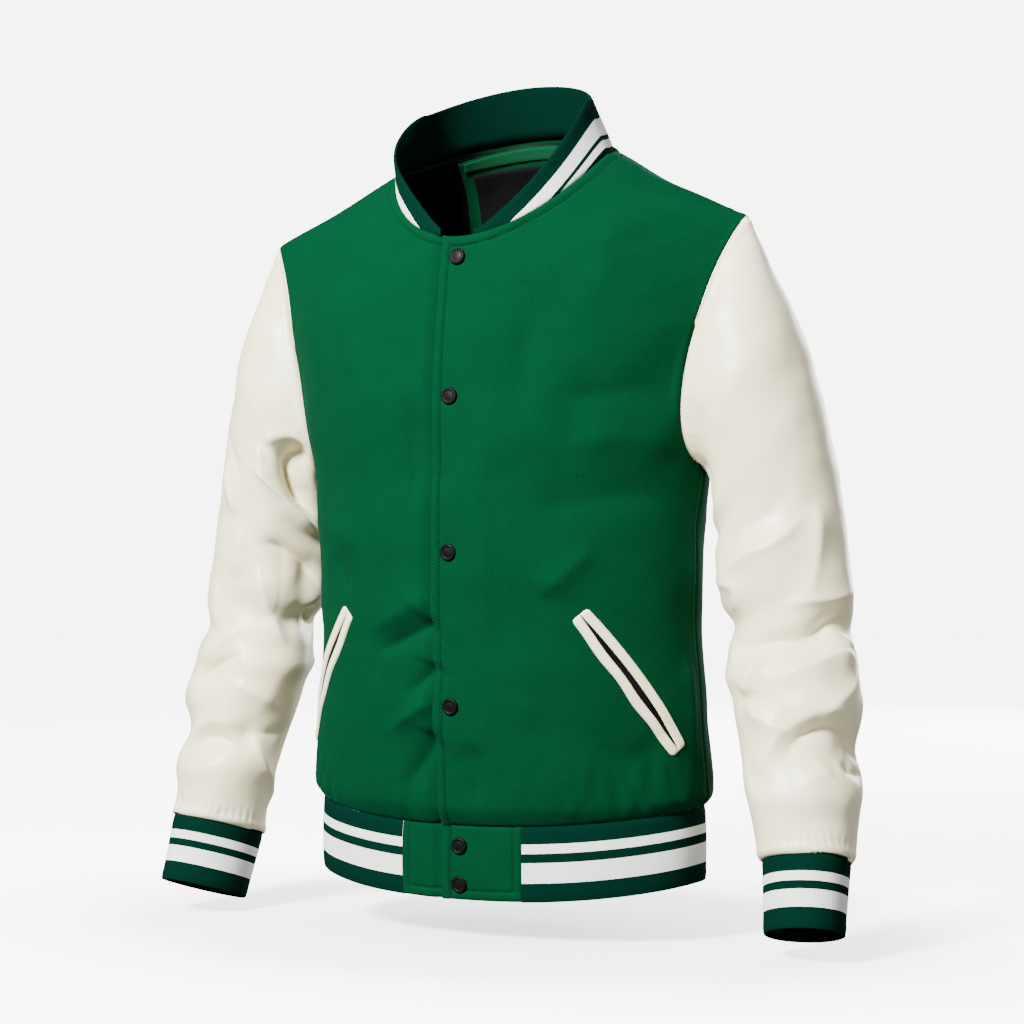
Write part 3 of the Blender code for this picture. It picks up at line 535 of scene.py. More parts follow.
    def collar(self, angle: Array, rise: Array) -> Array:
        """Point of the collar: rise 0 is the neckline, 1 the rolled top."""
        angle, rise = np.broadcast_arrays(np.asarray(angle, float), np.asarray(rise, float))
        angle = wrap(angle)
        c, s = np.cos(angle), np.sin(angle)
        sideways = 0.37 - 0.36 * np.maximum(-s, 0) - self.collar_spread * self.collar_fallen(angle)
        lean = np.stack((-sideways * c, np.where(s > 0, -0.43, -0.15) * s, 0.92 + 0 * s), -1)
        height = self.collar_rise(angle) * rise
        return self.plain(angle, 0 * rise + 1.0) + unit(lean) * height[..., None]

    def angle_at(self, x: Array, level: Array, back: bool = False) -> Array:
        """Angle at which a ring has a given x, on the front or the back, by halving."""
        low, high = np.full_like(level, -pi), np.zeros_like(level)
        for _ in range(26):
            middle = (low + high) / 2
            below = self.plain(middle, level)[..., 0] < x
            low, high = np.where(below, middle, low), np.where(below, high, middle)
        return -(low + high) / 2 if back else (low + high) / 2

    def level_at(self, angle: Array, height: Array) -> Array:
        """Level at which the body has a given height, by halving."""
        low, high = np.zeros_like(angle), np.ones_like(angle)
        for _ in range(26):
            middle = (low + high) / 2
            below = self.plain(angle, middle)[..., 2] < height
            low, high = np.where(below, middle, low), np.where(below, high, middle)
        return (low + high) / 2

    def beside(self, angle: Array, level: Array, step: Array) -> tuple[Array, Array]:
        """Angle and level reached from a place on the body by a short step."""
        h = 1e-3
        across = (self.plain(angle + h, level) - self.plain(angle - h, level)) / (2 * h)
        up = (self.plain(angle, level + h) - self.plain(angle, level - h)) / (2 * h)
        aa, au, uu = (across * across).sum(-1), (across * up).sum(-1), (up * up).sum(-1)
        sa, su = (step * across).sum(-1), (step * up).sum(-1)
        det = aa * uu - au * au
        return angle + (sa * uu - su * au) / det, level + (su * aa - sa * au) / det


@dataclass(frozen=True)
class SleeveBlock:
    """The form of the left sleeve, from the armhole to the cuff, with the cuff.

    Rings: reach, outer x, z and y, inner x, z and y, half depth.
    """

    body: BodyBlock
    rings: Array = field(default_factory=lambda: np.array((
        (0.00, 247, -68, -18, 200, -290, -5, 50),
        (0.08, 268, -116, -12, 206, -297, 0, 60),
        (0.18, 290, -172, -2, 207, -316, 5, 65),
        (0.28, 307, -235, 5, 207, -340, 9, 65),
        (0.38, 320, -300, 8, 209, -370, 9, 61),
        (0.50, 331, -372, 6, 215, -412, 6, 57),
        (0.62, 340, -445, -2, 225, -464, -2, 54),
        (0.75, 347, -520, -13, 238, -524, -15, 51),
        (0.88, 351, -590, -26, 254, -588, -30, 48),
        (1.00, 348, -634, -34, 268, -642, -36, 46))))
    cap_blend: float = 0.16
    wrist_blend: float = 0.88
    big_folds: Array = field(default_factory=lambda: np.array((
        (0.56, 150, 0.030, 75, -9.0),
        (0.61, 20, 0.028, 70, -7.0),
        (0.66, 150, 0.030, 80, 5.0),
        (0.72, 40, 0.030, 70, 5.0),
        (0.79, 10, 0.028, 80, -6.0),
        (0.86, 60, 0.030, 90, 4.0),
        (0.34, 150, 0.035, 60, -5.0))))
    cuff_top: tuple = (307.0, -35.0, -638.0)
    cuff_fall: tuple = (5.0, -19.0, -61.0)
    cuff_long: tuple = (46.0, 43.0)
    cuff_short: tuple = (38.5, 34.5)
    cuff_turn: float = radians(-58)

    def cuff(self, turn: Array, fall: Array) -> Array:
        """Point of the left cuff: fall 0 is its seam, 1 the hand opening."""
        turn, fall = np.broadcast_arrays(np.asarray(turn, float), np.asarray(fall, float))
        drop = np.array(self.cuff_fall)
        axis = unit(drop)
        long_way = np.array((cos(self.cuff_turn), sin(self.cuff_turn), 0.0))
        long_way = unit(long_way - axis * (long_way @ axis))
        short_way = np.cross(long_way, axis)
        short_way = short_way * np.sign(short_way[0])
        a = self.cuff_long[0] + (self.cuff_long[1] - self.cuff_long[0]) * fall
        b = self.cuff_short[0] + (self.cuff_short[1] - self.cuff_short[0]) * fall
        shift = turn + radians(90) + self.cuff_turn
        oval = long_way * (a * np.sin(shift))[..., None]
        oval = oval + short_way * (b * np.cos(shift))[..., None]
        return np.array(self.cuff_top) + drop * fall[..., None] + oval

    def plain(self, turn: Array, reach: Array) -> Array:
        """Point of the left sleeve with no folds."""
        turn, reach = np.broadcast_arrays(np.asarray(turn, float), np.asarray(reach, float))
        ox, oz, oy, ix, iz, iy, depth = (through(self.rings, c, reach) for c in range(1, 8))
        outer = np.stack((ox, oy, oz), -1)
        inner = np.stack((ix, iy, iz), -1)
        ring = (outer + inner) / 2 + (outer - inner) / 2 * np.cos(turn)[..., None]
        ring[..., 1] -= depth * np.sin(turn)
        cap = smooth(1 - reach / self.cap_blend)[..., None]
        wrist = smooth((reach - self.wrist_blend) / (1 - self.wrist_blend))[..., None]
        ring = ring * (1 - cap) + self.body.plain(*self.body.armhole(turn)) * cap
        return ring * (1 - wrist) + self.cuff(turn, 0 * reach) * wrist

    def form(self, turn: Array, reach: Array) -> Array:
        """Point of the left sleeve with the large folds of its solid."""
        turn, reach = np.broadcast_arrays(np.asarray(turn, float), np.asarray(reach, float))
        push = np.zeros_like(reach)
        for place, angle, length, half_turn, depth in self.big_folds:
            away = wrap(turn - radians(angle))
            push += depth * bell(reach - place, length) * bell(away, radians(half_turn))
        push *= smooth(reach / 0.2) * smooth((1 - reach) / 0.1)
        return self.plain(turn, reach) + normals_of(self.plain, turn, reach) * push[..., None]


# ---- meshes -----------------------------------------------------------------
def add_mesh(name: str, points: Array, faces: list, uv: Array | None = None,
             turn_length: float = 0.0) -> bpy.types.Object:
    """Add a smooth mesh, its points in millimetres, with faces turned outward.

    Args:
        name: The piece's name.
        points: Its points.
        faces: Its faces.
        uv: Real-size place of each point on the cloth, in metres.
        turn_length: Length once round of a closed cloth, in metres.
    Returns:
        The piece.
    """
    mesh = bpy.data.meshes.new(name)
    mesh.from_pydata((points * MM).tolist(), [], faces)
    work = bmesh.new()
    work.from_mesh(mesh)
    bmesh.ops.recalc_face_normals(work, faces=work.faces)
    work.to_mesh(mesh)
    work.free()
    if uv is not None:
        layer = mesh.uv_layers.new(name="Cloth")
        index = np.zeros(len(mesh.loops), np.int64)
        mesh.loops.foreach_get("vertex_index", index)
        flat = uv[index]
        if turn_length:
            starts = np.zeros(len(mesh.polygons), np.int64)
            mesh.polygons.foreach_get("loop_start", starts)
            most = np.repeat(np.maximum.reduceat(flat[:, 0], starts),
                             np.diff(np.append(starts, len(flat))))
            flat[:, 0] += np.where(most - flat[:, 0] > turn_length / 2, turn_length, 0)
        layer.data.foreach_set("uv", flat.astype(np.float32).ravel())
    mesh.shade_smooth()
    made = bpy.data.objects.new(name, mesh)
    bpy.context.scene.collection.objects.link(made)
    return made


def zip_loop(fine: Array, coarse: Array, step: int) -> list:
    """Triangles between a loop of points and one with every step-th of them."""
    faces = []
    half = step // 2 + 1
    count = len(fine)
    for k in range(len(coarse)):
        this, after = int(coarse[k]), int(coarse[(k + 1) % len(coarse)])
        at = [int(fine[(k * step + i) % count]) for i in range(step + 1)]
        faces += [(at[i], at[i + 1], this) for i in range(half)]
        faces.append((at[half], after, this))
        faces += [(at[i], at[i + 1], after) for i in range(half, step)]
    return faces


@dataclass
class Wall:
    """A closed wall of cloth between an outer and an inner grid, with round edges.

    The grids are rows by columns. The inner one keeps every `step`-th point.
    """

    name: str
    outer: Array
    inner: Array
    closed: bool = False
    mirrored: bool = False
    step: int = 3
    nose: float = 0.45

    def edge_loops(self) -> list[tuple[Array, Array]]:
        """Row and column of each point along each edge loop."""
        rows, columns = self.outer.shape[:2]
        if self.closed:
            j = np.arange(columns)
            return [(0 * j, j), (0 * j + rows - 1, j)]
        i, j = np.arange(rows), np.arange(columns)
        loop_i = np.concatenate((0 * j, i[1:], 0 * j[:-1] + rows - 1, i[-2:0:-1]))
        loop_j = np.concatenate((j, 0 * i[1:] + columns - 1, j[-2::-1], 0 * i[-2:0:-1]))
        return [(loop_i, loop_j)]

    def build(self) -> bpy.types.Object:
        """Make the mesh."""
        rows, columns = self.outer.shape[:2]
        inner = self.inner[::self.step, ::self.step]
        at = np.arange(rows * columns).reshape(rows, columns)
        far = rows * columns + np.arange(inner.shape[0] * inner.shape[1])
        far = far.reshape(inner.shape[:2])
        points = [self.outer.reshape(-1, 3), inner.reshape(-1, 3)]
        faces = []
        for grid in (at, far):
            ahead = np.roll(grid, -1, axis=1) if self.closed else grid[:, 1:]
            here = grid if self.closed else grid[:, :-1]
            quads = np.stack((here[:-1], ahead[:-1], ahead[1:], here[1:]), -1)
            faces += quads.reshape(-1, 4).tolist()
        count = rows * columns + inner.shape[0] * inner.shape[1]
        for i, j in self.edge_loops():
            inside_i = np.clip(i, 1, rows - 2)
            inside_j = j if self.closed else np.clip(j, 1, columns - 2)
            edge, under = self.outer[i, j], self.inner[i, j]
            outward = unit(edge - self.outer[inside_i, inside_j])
            thick = np.linalg.norm(edge - under, axis=-1, keepdims=True)
            points.append((edge + under) / 2 + outward * thick * self.nose)
            nose = count + np.arange(len(i))
            count += len(i)
            rim = at[i, j]
            quads = np.stack((rim, np.roll(rim, -1), np.roll(nose, -1), nose), -1)
            faces += quads.tolist()
            coarse = far[i[::self.step] // self.step, j[::self.step] // self.step]
            faces += zip_loop(nose, coarse, self.step)
        points = np.concatenate(points)
        if self.mirrored:
            points = points * (-1, 1, 1)
        return add_mesh(self.name, points, faces)


def ring_run(name: str, rings: Array, closed: bool, uv: Array,
             mirrored: bool = False) -> bpy.types.Object:
    """A band swept through rings, each a closed section of the cloth.

    Args:
        name: The piece's name.
        rings: Points, stations by section.
        closed: Whether the last station joins the first.
        uv: Real-size place of each point, in metres.
        mirrored: Whether the piece is for the wearer's right.
    Returns:
        The piece.
    """
    stations, section = rings.shape[:2]
    at = np.arange(stations * section).reshape(stations, section)
    here, ahead = (at, np.roll(at, -1, axis=0)) if closed else (at[:-1], at[1:])
    quads = np.stack((here, np.roll(here, -1, 1), np.roll(ahead, -1, 1), ahead), -1)
    faces = quads.reshape(-1, 4).tolist()
    if not closed:
        faces += [at[0].tolist(), at[-1].tolist()]
    points = rings.reshape(-1, 3) * ((-1, 1, 1) if mirrored else (1, 1, 1))
    turn_length = float(uv[..., 0].max()) if closed else 0.0
    return add_mesh(name, points, faces, uv.reshape(-1, 2), turn_length)


def stitch_run(path: Array, up: Array, length: float = 2.5, gap: float = 1.0,
               radius: float = 0.30) -> tuple[Array, list]:
    """Stitches along a line, each a short bowed thread.

    Args:
        path: Points of the line in order.
        up: Outward normal at each point.
        length: Length of a stitch.
        gap: Space between two.
        radius: Half the thread's thickness.
    Returns:
        Points and faces.
    """
    run = np.concatenate(((0,), np.cumsum(np.linalg.norm(np.diff(path, axis=0), axis=1))))
    starts = np.arange(gap, run[-1] - length, length + gap)
    sides, rings = 5, ((0.0, 0.45, -0.30), (0.22, 1.0, 0.12), (0.78, 1.0, 0.12), (1.0, 0.45, -0.30))
    points, faces = [], []
    for start in starts:
        base = len(points) * sides
        for share, size, lift in rings:
            at = start + share * length
            p = np.array([np.interp(at, run, path[:, k]) for k in range(3)])
            n = unit(np.array([np.interp(at, run, up[:, k]) for k in range(3)]))
            ahead = np.array([np.interp(at + 0.5, run, path[:, k]) for k in range(3)])
            across = unit(np.cross(n, ahead - p + 1e-9))
            turn = 2 * pi * np.arange(sides) / sides
            ring = np.cos(turn)[:, None] * across + np.sin(turn)[:, None] * n
            points.append(p + n * lift + ring * radius * size)
        for i in range(len(rings) - 1):
            for j in range(sides):
                k = (j + 1) % sides
                a, b = base + i * sides, base + (i + 1) * sides
                faces.append((a + j, a + k, b + k, b + j))
        faces.append(tuple(base + j for j in range(sides)))
        faces.append(tuple(base + (len(rings) - 1) * sides + j for j in range(sides)))
    return np.concatenate(points), faces


def add_stitches(name: str, runs: list, mirrored: bool = False) -> bpy.types.Object:
    """Join several lines of stitches into one piece."""
    points, faces, count = [], [], 0
    for path, up in runs:
        made, quads = stitch_run(path, up)
        points.append(made)
        faces += [tuple(i + count for i in face) for face in quads]
        count += len(made)
    joined = np.concatenate(points) * ((-1, 1, 1) if mirrored else (1, 1, 1))
    return add_mesh(name, joined, faces)


# ---- finishes ---------------------------------------------------------------
class Shader:
    """Builds the node tree of one finish."""

    def __init__(self, name: str) -> None:
        """Start a material with one Principled shader."""
        self.material = bpy.data.materials.new(name)
        self.material.use_nodes = True
        self.tree = self.material.node_tree
        self.main = self.tree.nodes["Principled BSDF"]
        self.place = self.tree.nodes.new("ShaderNodeTexCoord")

    def set(self, **values: float | tuple) -> None:
        """Set the main shader's own sockets, underscores standing for spaces."""
        for name, value in values.items():
            self.main.inputs[name.replace("_", " ")].default_value = value

    def stretched(self, scale: tuple) -> bpy.types.NodeSocket:
        """The object's own coordinates, scaled on each axis."""
        node = self.tree.nodes.new("ShaderNodeMapping")
        node.inputs["Scale"].default_value = scale
        self.tree.links.new(self.place.outputs["Object"], node.inputs["Vector"])
        return node.outputs["Vector"]

    def noise(self, scale: float, detail: float = 3.0, rough: float = 0.5,
              at: bpy.types.NodeSocket | None = None) -> bpy.types.NodeSocket:
        """Noise at a scale per metre, on the object's own coordinates."""
        node = self.tree.nodes.new("ShaderNodeTexNoise")
        node.inputs["Scale"].default_value = scale
        node.inputs["Detail"].default_value = detail
        node.inputs["Roughness"].default_value = rough
        self.tree.links.new(at or self.place.outputs["Object"], node.inputs["Vector"])
        return node.outputs["Fac"]

    def cells(self, scale: float) -> bpy.types.NodeSocket:
        """Soft cells, as in leather grain."""
        node = self.tree.nodes.new("ShaderNodeTexVoronoi")
        node.feature = "SMOOTH_F1"
        node.inputs["Scale"].default_value = scale
        node.inputs["Smoothness"].default_value = 0.6
        self.tree.links.new(self.place.outputs["Object"], node.inputs["Vector"])
        return node.outputs["Distance"]

    def maths(self, what: str, *values: bpy.types.NodeSocket | float) -> bpy.types.NodeSocket:
        """One step of arithmetic."""
        node = self.tree.nodes.new("ShaderNodeMath")
        node.operation = what
        for socket, value in zip(node.inputs, values):
            if isinstance(value, (int, float)):
                socket.default_value = value
            else:
                self.tree.links.new(value, socket)
        return node.outputs["Value"]

    def ramp(self, value: bpy.types.NodeSocket, stops: list,
             steps: bool = False) -> bpy.types.NodeSocket:
        """Colours along a value, blended or in steps."""
        node = self.tree.nodes.new("ShaderNodeValToRGB")
        node.color_ramp.interpolation = "CONSTANT" if steps else "LINEAR"
        elements = node.color_ramp.elements
        while len(elements) < len(stops):
            elements.new(1.0)
        for element, (position, colour) in zip(elements, stops):
            element.position = position
            element.color = (*colour, 1.0)
        self.tree.links.new(value, node.inputs["Fac"])
        return node.outputs["Color"]

    def shaded(self, colour: bpy.types.NodeSocket, shade: bpy.types.NodeSocket,
               amount: float) -> bpy.types.NodeSocket:
        """A colour darkened by a grey value."""
        node = self.tree.nodes.new("ShaderNodeMix")
        node.data_type = "RGBA"
        node.blend_type = "MULTIPLY"
        node.inputs["Factor"].default_value = amount
        self.tree.links.new(colour, node.inputs["A"])
        self.tree.links.new(shade, node.inputs["B"])
        return node.outputs["Result"]

    def uv_axis(self, axis: str) -> bpy.types.NodeSocket:
        """Real-size place on the cloth, in metres: X along, Y across."""
        node = self.tree.nodes.new("ShaderNodeSeparateXYZ")
        self.tree.links.new(self.place.outputs["UV"], node.inputs["Vector"])
        return node.outputs[axis]

    def feed(self, socket: str, value: bpy.types.NodeSocket) -> None:
        """Link a value to a socket of the main shader."""
        self.tree.links.new(value, self.main.inputs[socket])

    def bump(self, heights: list[tuple[bpy.types.NodeSocket, float, float]]) -> None:
        """Stack bumps, each a height, a strength and a depth in millimetres."""
        normal = None
        for height, strength, depth in heights:
            node = self.tree.nodes.new("ShaderNodeBump")
            node.inputs["Strength"].default_value = strength
            node.inputs["Distance"].default_value = depth * MM
            self.tree.links.new(height, node.inputs["Height"])
            if normal is not None:
                self.tree.links.new(normal, node.inputs["Normal"])
            normal = node.outputs["Normal"]
        self.feed("Normal", normal)


@dataclass(frozen=True)
class WoolMelton:
    """Felted wool: a matt, faintly mottled nap."""

    deep: tuple = (0.0001, 0.025, 0.0080)
    lit: tuple = (0.0002, 0.036, 0.0128)
    sheen: tuple = (0.02, 0.85, 0.60, 1.0)
    cloudy: float = 0.20
    felted: float = 0.36
    hairy: float = 0.44

    def material(self, name: str = "wool") -> bpy.types.Material:
        """Make the material."""
        s = Shader(name)
        fibre = s.noise(1500, 4, 0.7)
        felt = s.noise(420, 3, 0.6)
        cloud = s.noise(38, 3, 0.55)
        mix = s.maths("MULTIPLY", cloud, self.cloudy)
        mix = s.maths("MULTIPLY_ADD", felt, self.felted, mix)
        mix = s.maths("MULTIPLY_ADD", fibre, self.hairy, mix)
        s.feed("Base Color", s.ramp(mix, [(0.32, self.deep), (0.68, self.lit)]))
        s.set(Roughness=0.95, Specular_IOR_Level=0.03, Sheen_Weight=0.03,
              Sheen_Roughness=0.45, Sheen_Tint=self.sheen)
        s.bump([(felt, 0.35, 0.35), (fibre, 0.45, 0.22)])
        return s.material


@dataclass(frozen=True)
class SleeveLeather:
    """Smooth cream leather with a fine grain."""

    warm: tuple = (0.850, 0.775, 0.490)
    pale: tuple = (0.905, 0.850, 0.600)
    roughness: float = 0.38
    unevenness: float = 0.12

    def material(self, name: str = "leather") -> bpy.types.Material:
        """Make the material."""
        s = Shader(name)
        grain = s.cells(760)
        pores = s.noise(2600, 2, 0.5)
        cloud = s.noise(16, 4, 0.55)
        s.feed("Base Color", s.ramp(cloud, [(0.25, self.warm), (0.62, self.pale)]))
        s.feed("Roughness", s.maths("MULTIPLY_ADD", s.noise(90, 3, 0.6), self.unevenness,
                                    self.roughness - self.unevenness / 2))
        s.set(Specular_IOR_Level=0.42, Sheen_Weight=0.04, Sheen_Roughness=0.5)
        s.bump([(grain, 0.16, 0.22), (pores, 0.10, 0.08)])
        return s.material


@dataclass(frozen=True)
class StripedKnit:
    """Fine ribbed knit with stripes: (distance from its top edge in mm, is white)."""

    stripes: tuple
    green: tuple = (0.0001, 0.0160, 0.0098)
    white: tuple = (0.850, 0.860, 0.830)
    height: float = 70.0
    wale: float = 2.6
    course: float = 1.5

    def material(self, name: str) -> bpy.types.Material:
        """Make the material."""
        s = Shader(name)
        across = s.uv_axis("Y")
        along = s.uv_axis("X")
        stops = [(0.0, self.green)]
        stops += [(place / self.height, self.white if is_white else self.green)
                  for place, is_white in self.stripes]
        colour = s.ramp(s.maths("MULTIPLY", across, 1000 / self.height), stops, steps=True)
        wale = s.maths("SINE", s.maths("MULTIPLY", along, 2 * pi * 1000 / self.wale))
        leg = s.maths("MULTIPLY", s.maths("ABSOLUTE", wale), 0.35 * pi)
        course = s.maths("SINE", s.maths("ADD", leg,
                                         s.maths("MULTIPLY", across, 2 * pi * 1000 / self.course)))
        yarn = s.noise(900, 3, 0.6)
        # Painted shade: the base colour is darkened over half of each wale, where its groove would lie in
        # shade.
        shade = s.ramp(wale, [(0.0, (0.80, 0.80, 0.80)), (1.0, (1.0, 1.0, 1.0))])
        mottle = s.ramp(yarn, [(0.30, (0.86, 0.86, 0.86)), (0.70, (1.0, 1.0, 1.0))])
        s.feed("Base Color", s.shaded(s.shaded(colour, shade, 0.35), mottle, 0.6))
        s.set(Roughness=0.95, Specular_IOR_Level=0.015, Sheen_Weight=0.003, Sheen_Roughness=0.5)
        s.bump([(course, 0.18, 0.12), (yarn, 0.22, 0.10)])
        return s.material


@dataclass(frozen=True)
class SatinLining:
    """Black lining or label cloth."""

    dark: tuple = (0.0015, 0.0015, 0.0017)
    light: tuple = (0.0040, 0.0040, 0.0046)
    roughness: float = 0.45
    weave: float = 1300.0

    def material(self, name: str) -> bpy.types.Material:
        """Make the material."""
        s = Shader(name)
        thread = s.noise(self.weave, 2, 0.5, s.stretched((1.0, 1.0, 0.22)))
        cloud = s.noise(30, 3, 0.5)
        s.feed("Base Color", s.ramp(cloud, [(0.3, self.dark), (0.7, self.light)]))
        s.set(Roughness=self.roughness, Specular_IOR_Level=0.05, Sheen_Weight=0.003)
        s.bump([(thread, 0.30, 0.12)])
        return s.material


@dataclass(frozen=True)
class NeckTape:
    """Green woven tape with a slanted weave."""

    dark: tuple = (0.0003, 0.028, 0.010)
    light: tuple = (0.0006, 0.056, 0.020)

    def material(self, name: str = "tape") -> bpy.types.Material:
        """Make the material."""
        s = Shader(name)
        thread = s.noise(900, 2, 0.5, s.stretched((1.0, 1.0, 2.2)))
        s.feed("Base Color", s.ramp(thread, [(0.3, self.dark), (0.7, self.light)]))
        s.set(Roughness=0.85, Specular_IOR_Level=0.1, Sheen_Weight=0.03)
        s.bump([(thread, 0.35, 0.2)])
        return s.material


@dataclass(frozen=True)
class SewingThread:
    """Twisted thread in the cloth's own colour."""

    dark: tuple
    light: tuple

    def material(self, name: str) -> bpy.types.Material:
        """Make the material."""
        s = Shader(name)
        twist = s.noise(3200, 2, 0.5)
        s.feed("Base Color", s.ramp(twist, [(0.3, self.dark), (0.7, self.light)]))
        s.set(Roughness=0.7, Specular_IOR_Level=0.04, Sheen_Weight=0.01)
        s.bump([(twist, 0.3, 0.08)])
        return s.material


@dataclass(frozen=True)
class SnapEnamel:
    """Glossy black enamel on pressed metal."""

    dark: tuple = (0.0016, 0.0016, 0.0018)
    light: tuple = (0.0032, 0.0032, 0.0036)
    roughness: float = 0.45
    wear: float = 0.10

    def material(self, name: str = "snap") -> bpy.types.Material:
        """Make the material."""
        s = Shader(name)
        wear = s.noise(700, 3, 0.6)
        s.feed("Base Color", s.ramp(wear, [(0.4, self.dark), (0.7, self.light)]))
        s.feed("Roughness", s.maths("MULTIPLY_ADD", wear, self.wear, self.roughness))
        s.set(Specular_IOR_Level=0.07, Coat_Weight=0.01, Coat_Roughness=0.15)
        s.bump([(s.noise(240, 2, 0.5), 0.05, 0.1)])
        return s.material


# ---- sub-assemblies ---------------------------------------------------------
@dataclass
class Cut:
    """The flat cut of a piece: width, length and area, in metres."""

    width: float
    length: float
    area: float


def dress(piece: bpy.types.Object, finish: bpy.types.Material,
          replaced: str | None = None) -> bpy.types.Object:
    """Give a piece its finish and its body.

    Args:
        piece: The piece.
        finish: Its material.
        replaced: The solid that it stands for.
    Returns:
        The piece.
    """
    piece.data.materials.append(finish)
    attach(piece, BODY)
    if replaced:
        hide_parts(replaced)
    faces = sum(len(p.vertices) - 2 for p in piece.data.polygons)
    log.info("%s: %d triangles", piece.name, faces)
    return piece


def crown(distance: Array, width: float, height: float) -> Array:
    """Rounded rise of an edge band, from the edge to its stitched groove."""
    half = width / 2
    inside = np.clip(1 - ((distance - half) / half) ** 2, 0, 1)
    return height * np.sqrt(inside) * (distance < width)


@dataclass
class EdgeBand:
    """A turned and topstitched edge: a crowned band with a groove inside it."""

    width: float = 9.0
    height: float = 1.25
    groove: float = 1.35
    groove_width: float = 1.15

    def push(self, distance: Array) -> Array:
        """Rise of the cloth at a distance from its edge."""
        dip = self.groove * bell(distance - self.width - 0.3, self.groove_width)
        return crown(distance, self.width, self.height) - dip


@dataclass
class WoolBody:
    """The two fronts and the back, with their linings."""

    block: BodyBlock
    wool: bpy.types.Material
    lining: bpy.types.Material
    thread: bpy.types.Material
    wall: float = 2.0
    lay_gap: float = 0.35
    edge_x: float = 18.0
    tab_reach: float = 61.0
    band: EdgeBand = field(default_factory=EdgeBand)
    seam_dip: float = 1.1
    seam_width: float = 2.0
    edge_shade: float = 1.9
    lining_depth: float = 3.3
    lining_wall: float = 1.0
    lining_back_off: float = 2.4
    skirt_rows: int = 129
    arm_rows: int = 120
    yoke_rows: int = 54
    snap_heights: tuple = (-100.0, -228.0, -369.0, -508.0)

    def rows(self, share: float = 1.0) -> tuple[Array, Array]:
        """Level of each row, and the armhole's turn at each, or nan off it."""
        counts = [int(n * share) // 3 * 3 for n in (self.skirt_rows, self.arm_rows, self.yoke_rows)]
        skirt = np.linspace(0, self.block.underarm, counts[0] + 1)
        turn = np.linspace(pi, 0, counts[1] + 1)
        yoke = np.linspace(self.block.shoulder, 1, counts[2] + 1)
        level = np.concatenate((skirt[:-1], self.block.armhole(turn)[1], yoke[1:]))
        turns = np.full_like(level, np.nan)
        turns[counts[0]:counts[0] + counts[1] + 1] = turn
        return level, turns

    def front_angles(self, level: Array, turn: Array, near: int, rest: int) -> Array:
        """Angle of each row and column of a front, centre edge to side."""
        last = np.where(np.isnan(turn), 0.0, self.block.armhole(np.nan_to_num(turn))[0])
        x = np.linspace(-self.edge_x, self.tab_reach, near + 1)
        edge = self.block.angle_at(np.broadcast_to(x, (len(level), near + 1)).copy(),
                                   np.broadcast_to(level[:, None], (len(level), near + 1)).copy())
        share = np.linspace(0, 1, rest + 1)[1:]
        side = edge[:, -1:] + (last[:, None] - edge[:, -1:]) * share
        return np.concatenate((edge, side), 1)

    def back_angles(self, turn: Array, columns: int) -> Array:
        """Angle of each row and column of the back, left side to right side."""
        first = np.where(np.isnan(turn), 0.0, self.block.armhole(-np.nan_to_num(turn))[0])
        share = np.linspace(0, 1, columns + 1)
        return first[:, None] + (pi - 2 * first[:, None]) * share

    def sink(self, angle: Array, level: Array, side: Side) -> Array:
        """Depth of the right front under the left front's edge."""
        if side is Side.LEFT:
            return np.zeros(angle.shape)
        x = self.block.plain(angle, level)[..., 0]
        return (self.wall + self.lay_gap + 0.2) * (1 - smooth((x - 21) / 9))

    def outer_face(self, angle: Array, level: Array, side: Side | None) -> tuple[Array, Array]:
        """Points and normals of the wool's outside, folds and seams in.

        Args:
            angle: Angle of each grid point, for a left piece.
            level: Level of each grid point.
            side: The side of a front, or None for the back.
        Returns:
            Points and outward normals, on the left.
        """
        block = self.block
        plain = block.plain(angle, level)
        out = normals_of(block.plain, angle, level)
        if side is Side.RIGHT:
            real = -pi - angle
            push = block.push(real, level, plain * (-1, 1, 1))
        else:
            push = block.push(angle, level, plain)
        across, up = run_lengths(plain, 1), run_lengths(plain, 0)
        from_hem, from_neck = up, up[-1:] - up
        from_side = across[:, -1:] - across
        seams = bell(from_side, self.seam_width)
        if side is None:
            seams = seams + bell(across, self.seam_width)
        edge = from_neck
        hem_dip = bell(from_hem, self.seam_width)
        if side is Side.LEFT:
            edge = np.minimum(from_neck, across)
            hem_dip = hem_dip * smooth((across - self.band.width) / 3)
        push = push + self.band.push(edge) - self.seam_dip * (seams + hem_dip)
        push = push + 0.5 * bell(from_side - 5, 3.5)
        if side is Side.LEFT:
            for height in self.snap_heights:
                away = np.hypot(plain[..., 0], plain[..., 2] - height)
                push = push - 0.7 * bell(away, 9.5)
        if side is Side.RIGHT:
            under = plain[..., 0] - self.edge_x
            push = push - self.edge_shade * bell(under - 0.6, 2.4) - self.sink(angle, level, side)
        return plain + out * push[..., None], out

    def wall_ways(self, grid: Array, angle: Array, level: Array, turn: Array,
                  sleeve: SleeveBlock, both: bool) -> Array:
        """Directions through the wall, mitred where it meets a neighbour."""
        out = grid_normals(grid, closed=False)
        block = self.block
        out[0] = mitre(out[0], -normals_of(block.hem, angle[0], 0 * angle[0]))
        out[-1] = mitre(out[-1], normals_of(block.collar, angle[-1], 0 * angle[-1]))
        row = np.flatnonzero(~np.isnan(turn))
        sign = -1 if both else 1
        other = normals_of(sleeve.form, sign * turn[row], 0 * turn[row])
        if both:
            out[row, 0] = mitre(out[row, 0], other)
            other = other * (-1, 1, 1)
        out[row, -1] = mitre(out[row, -1], other)
        return out

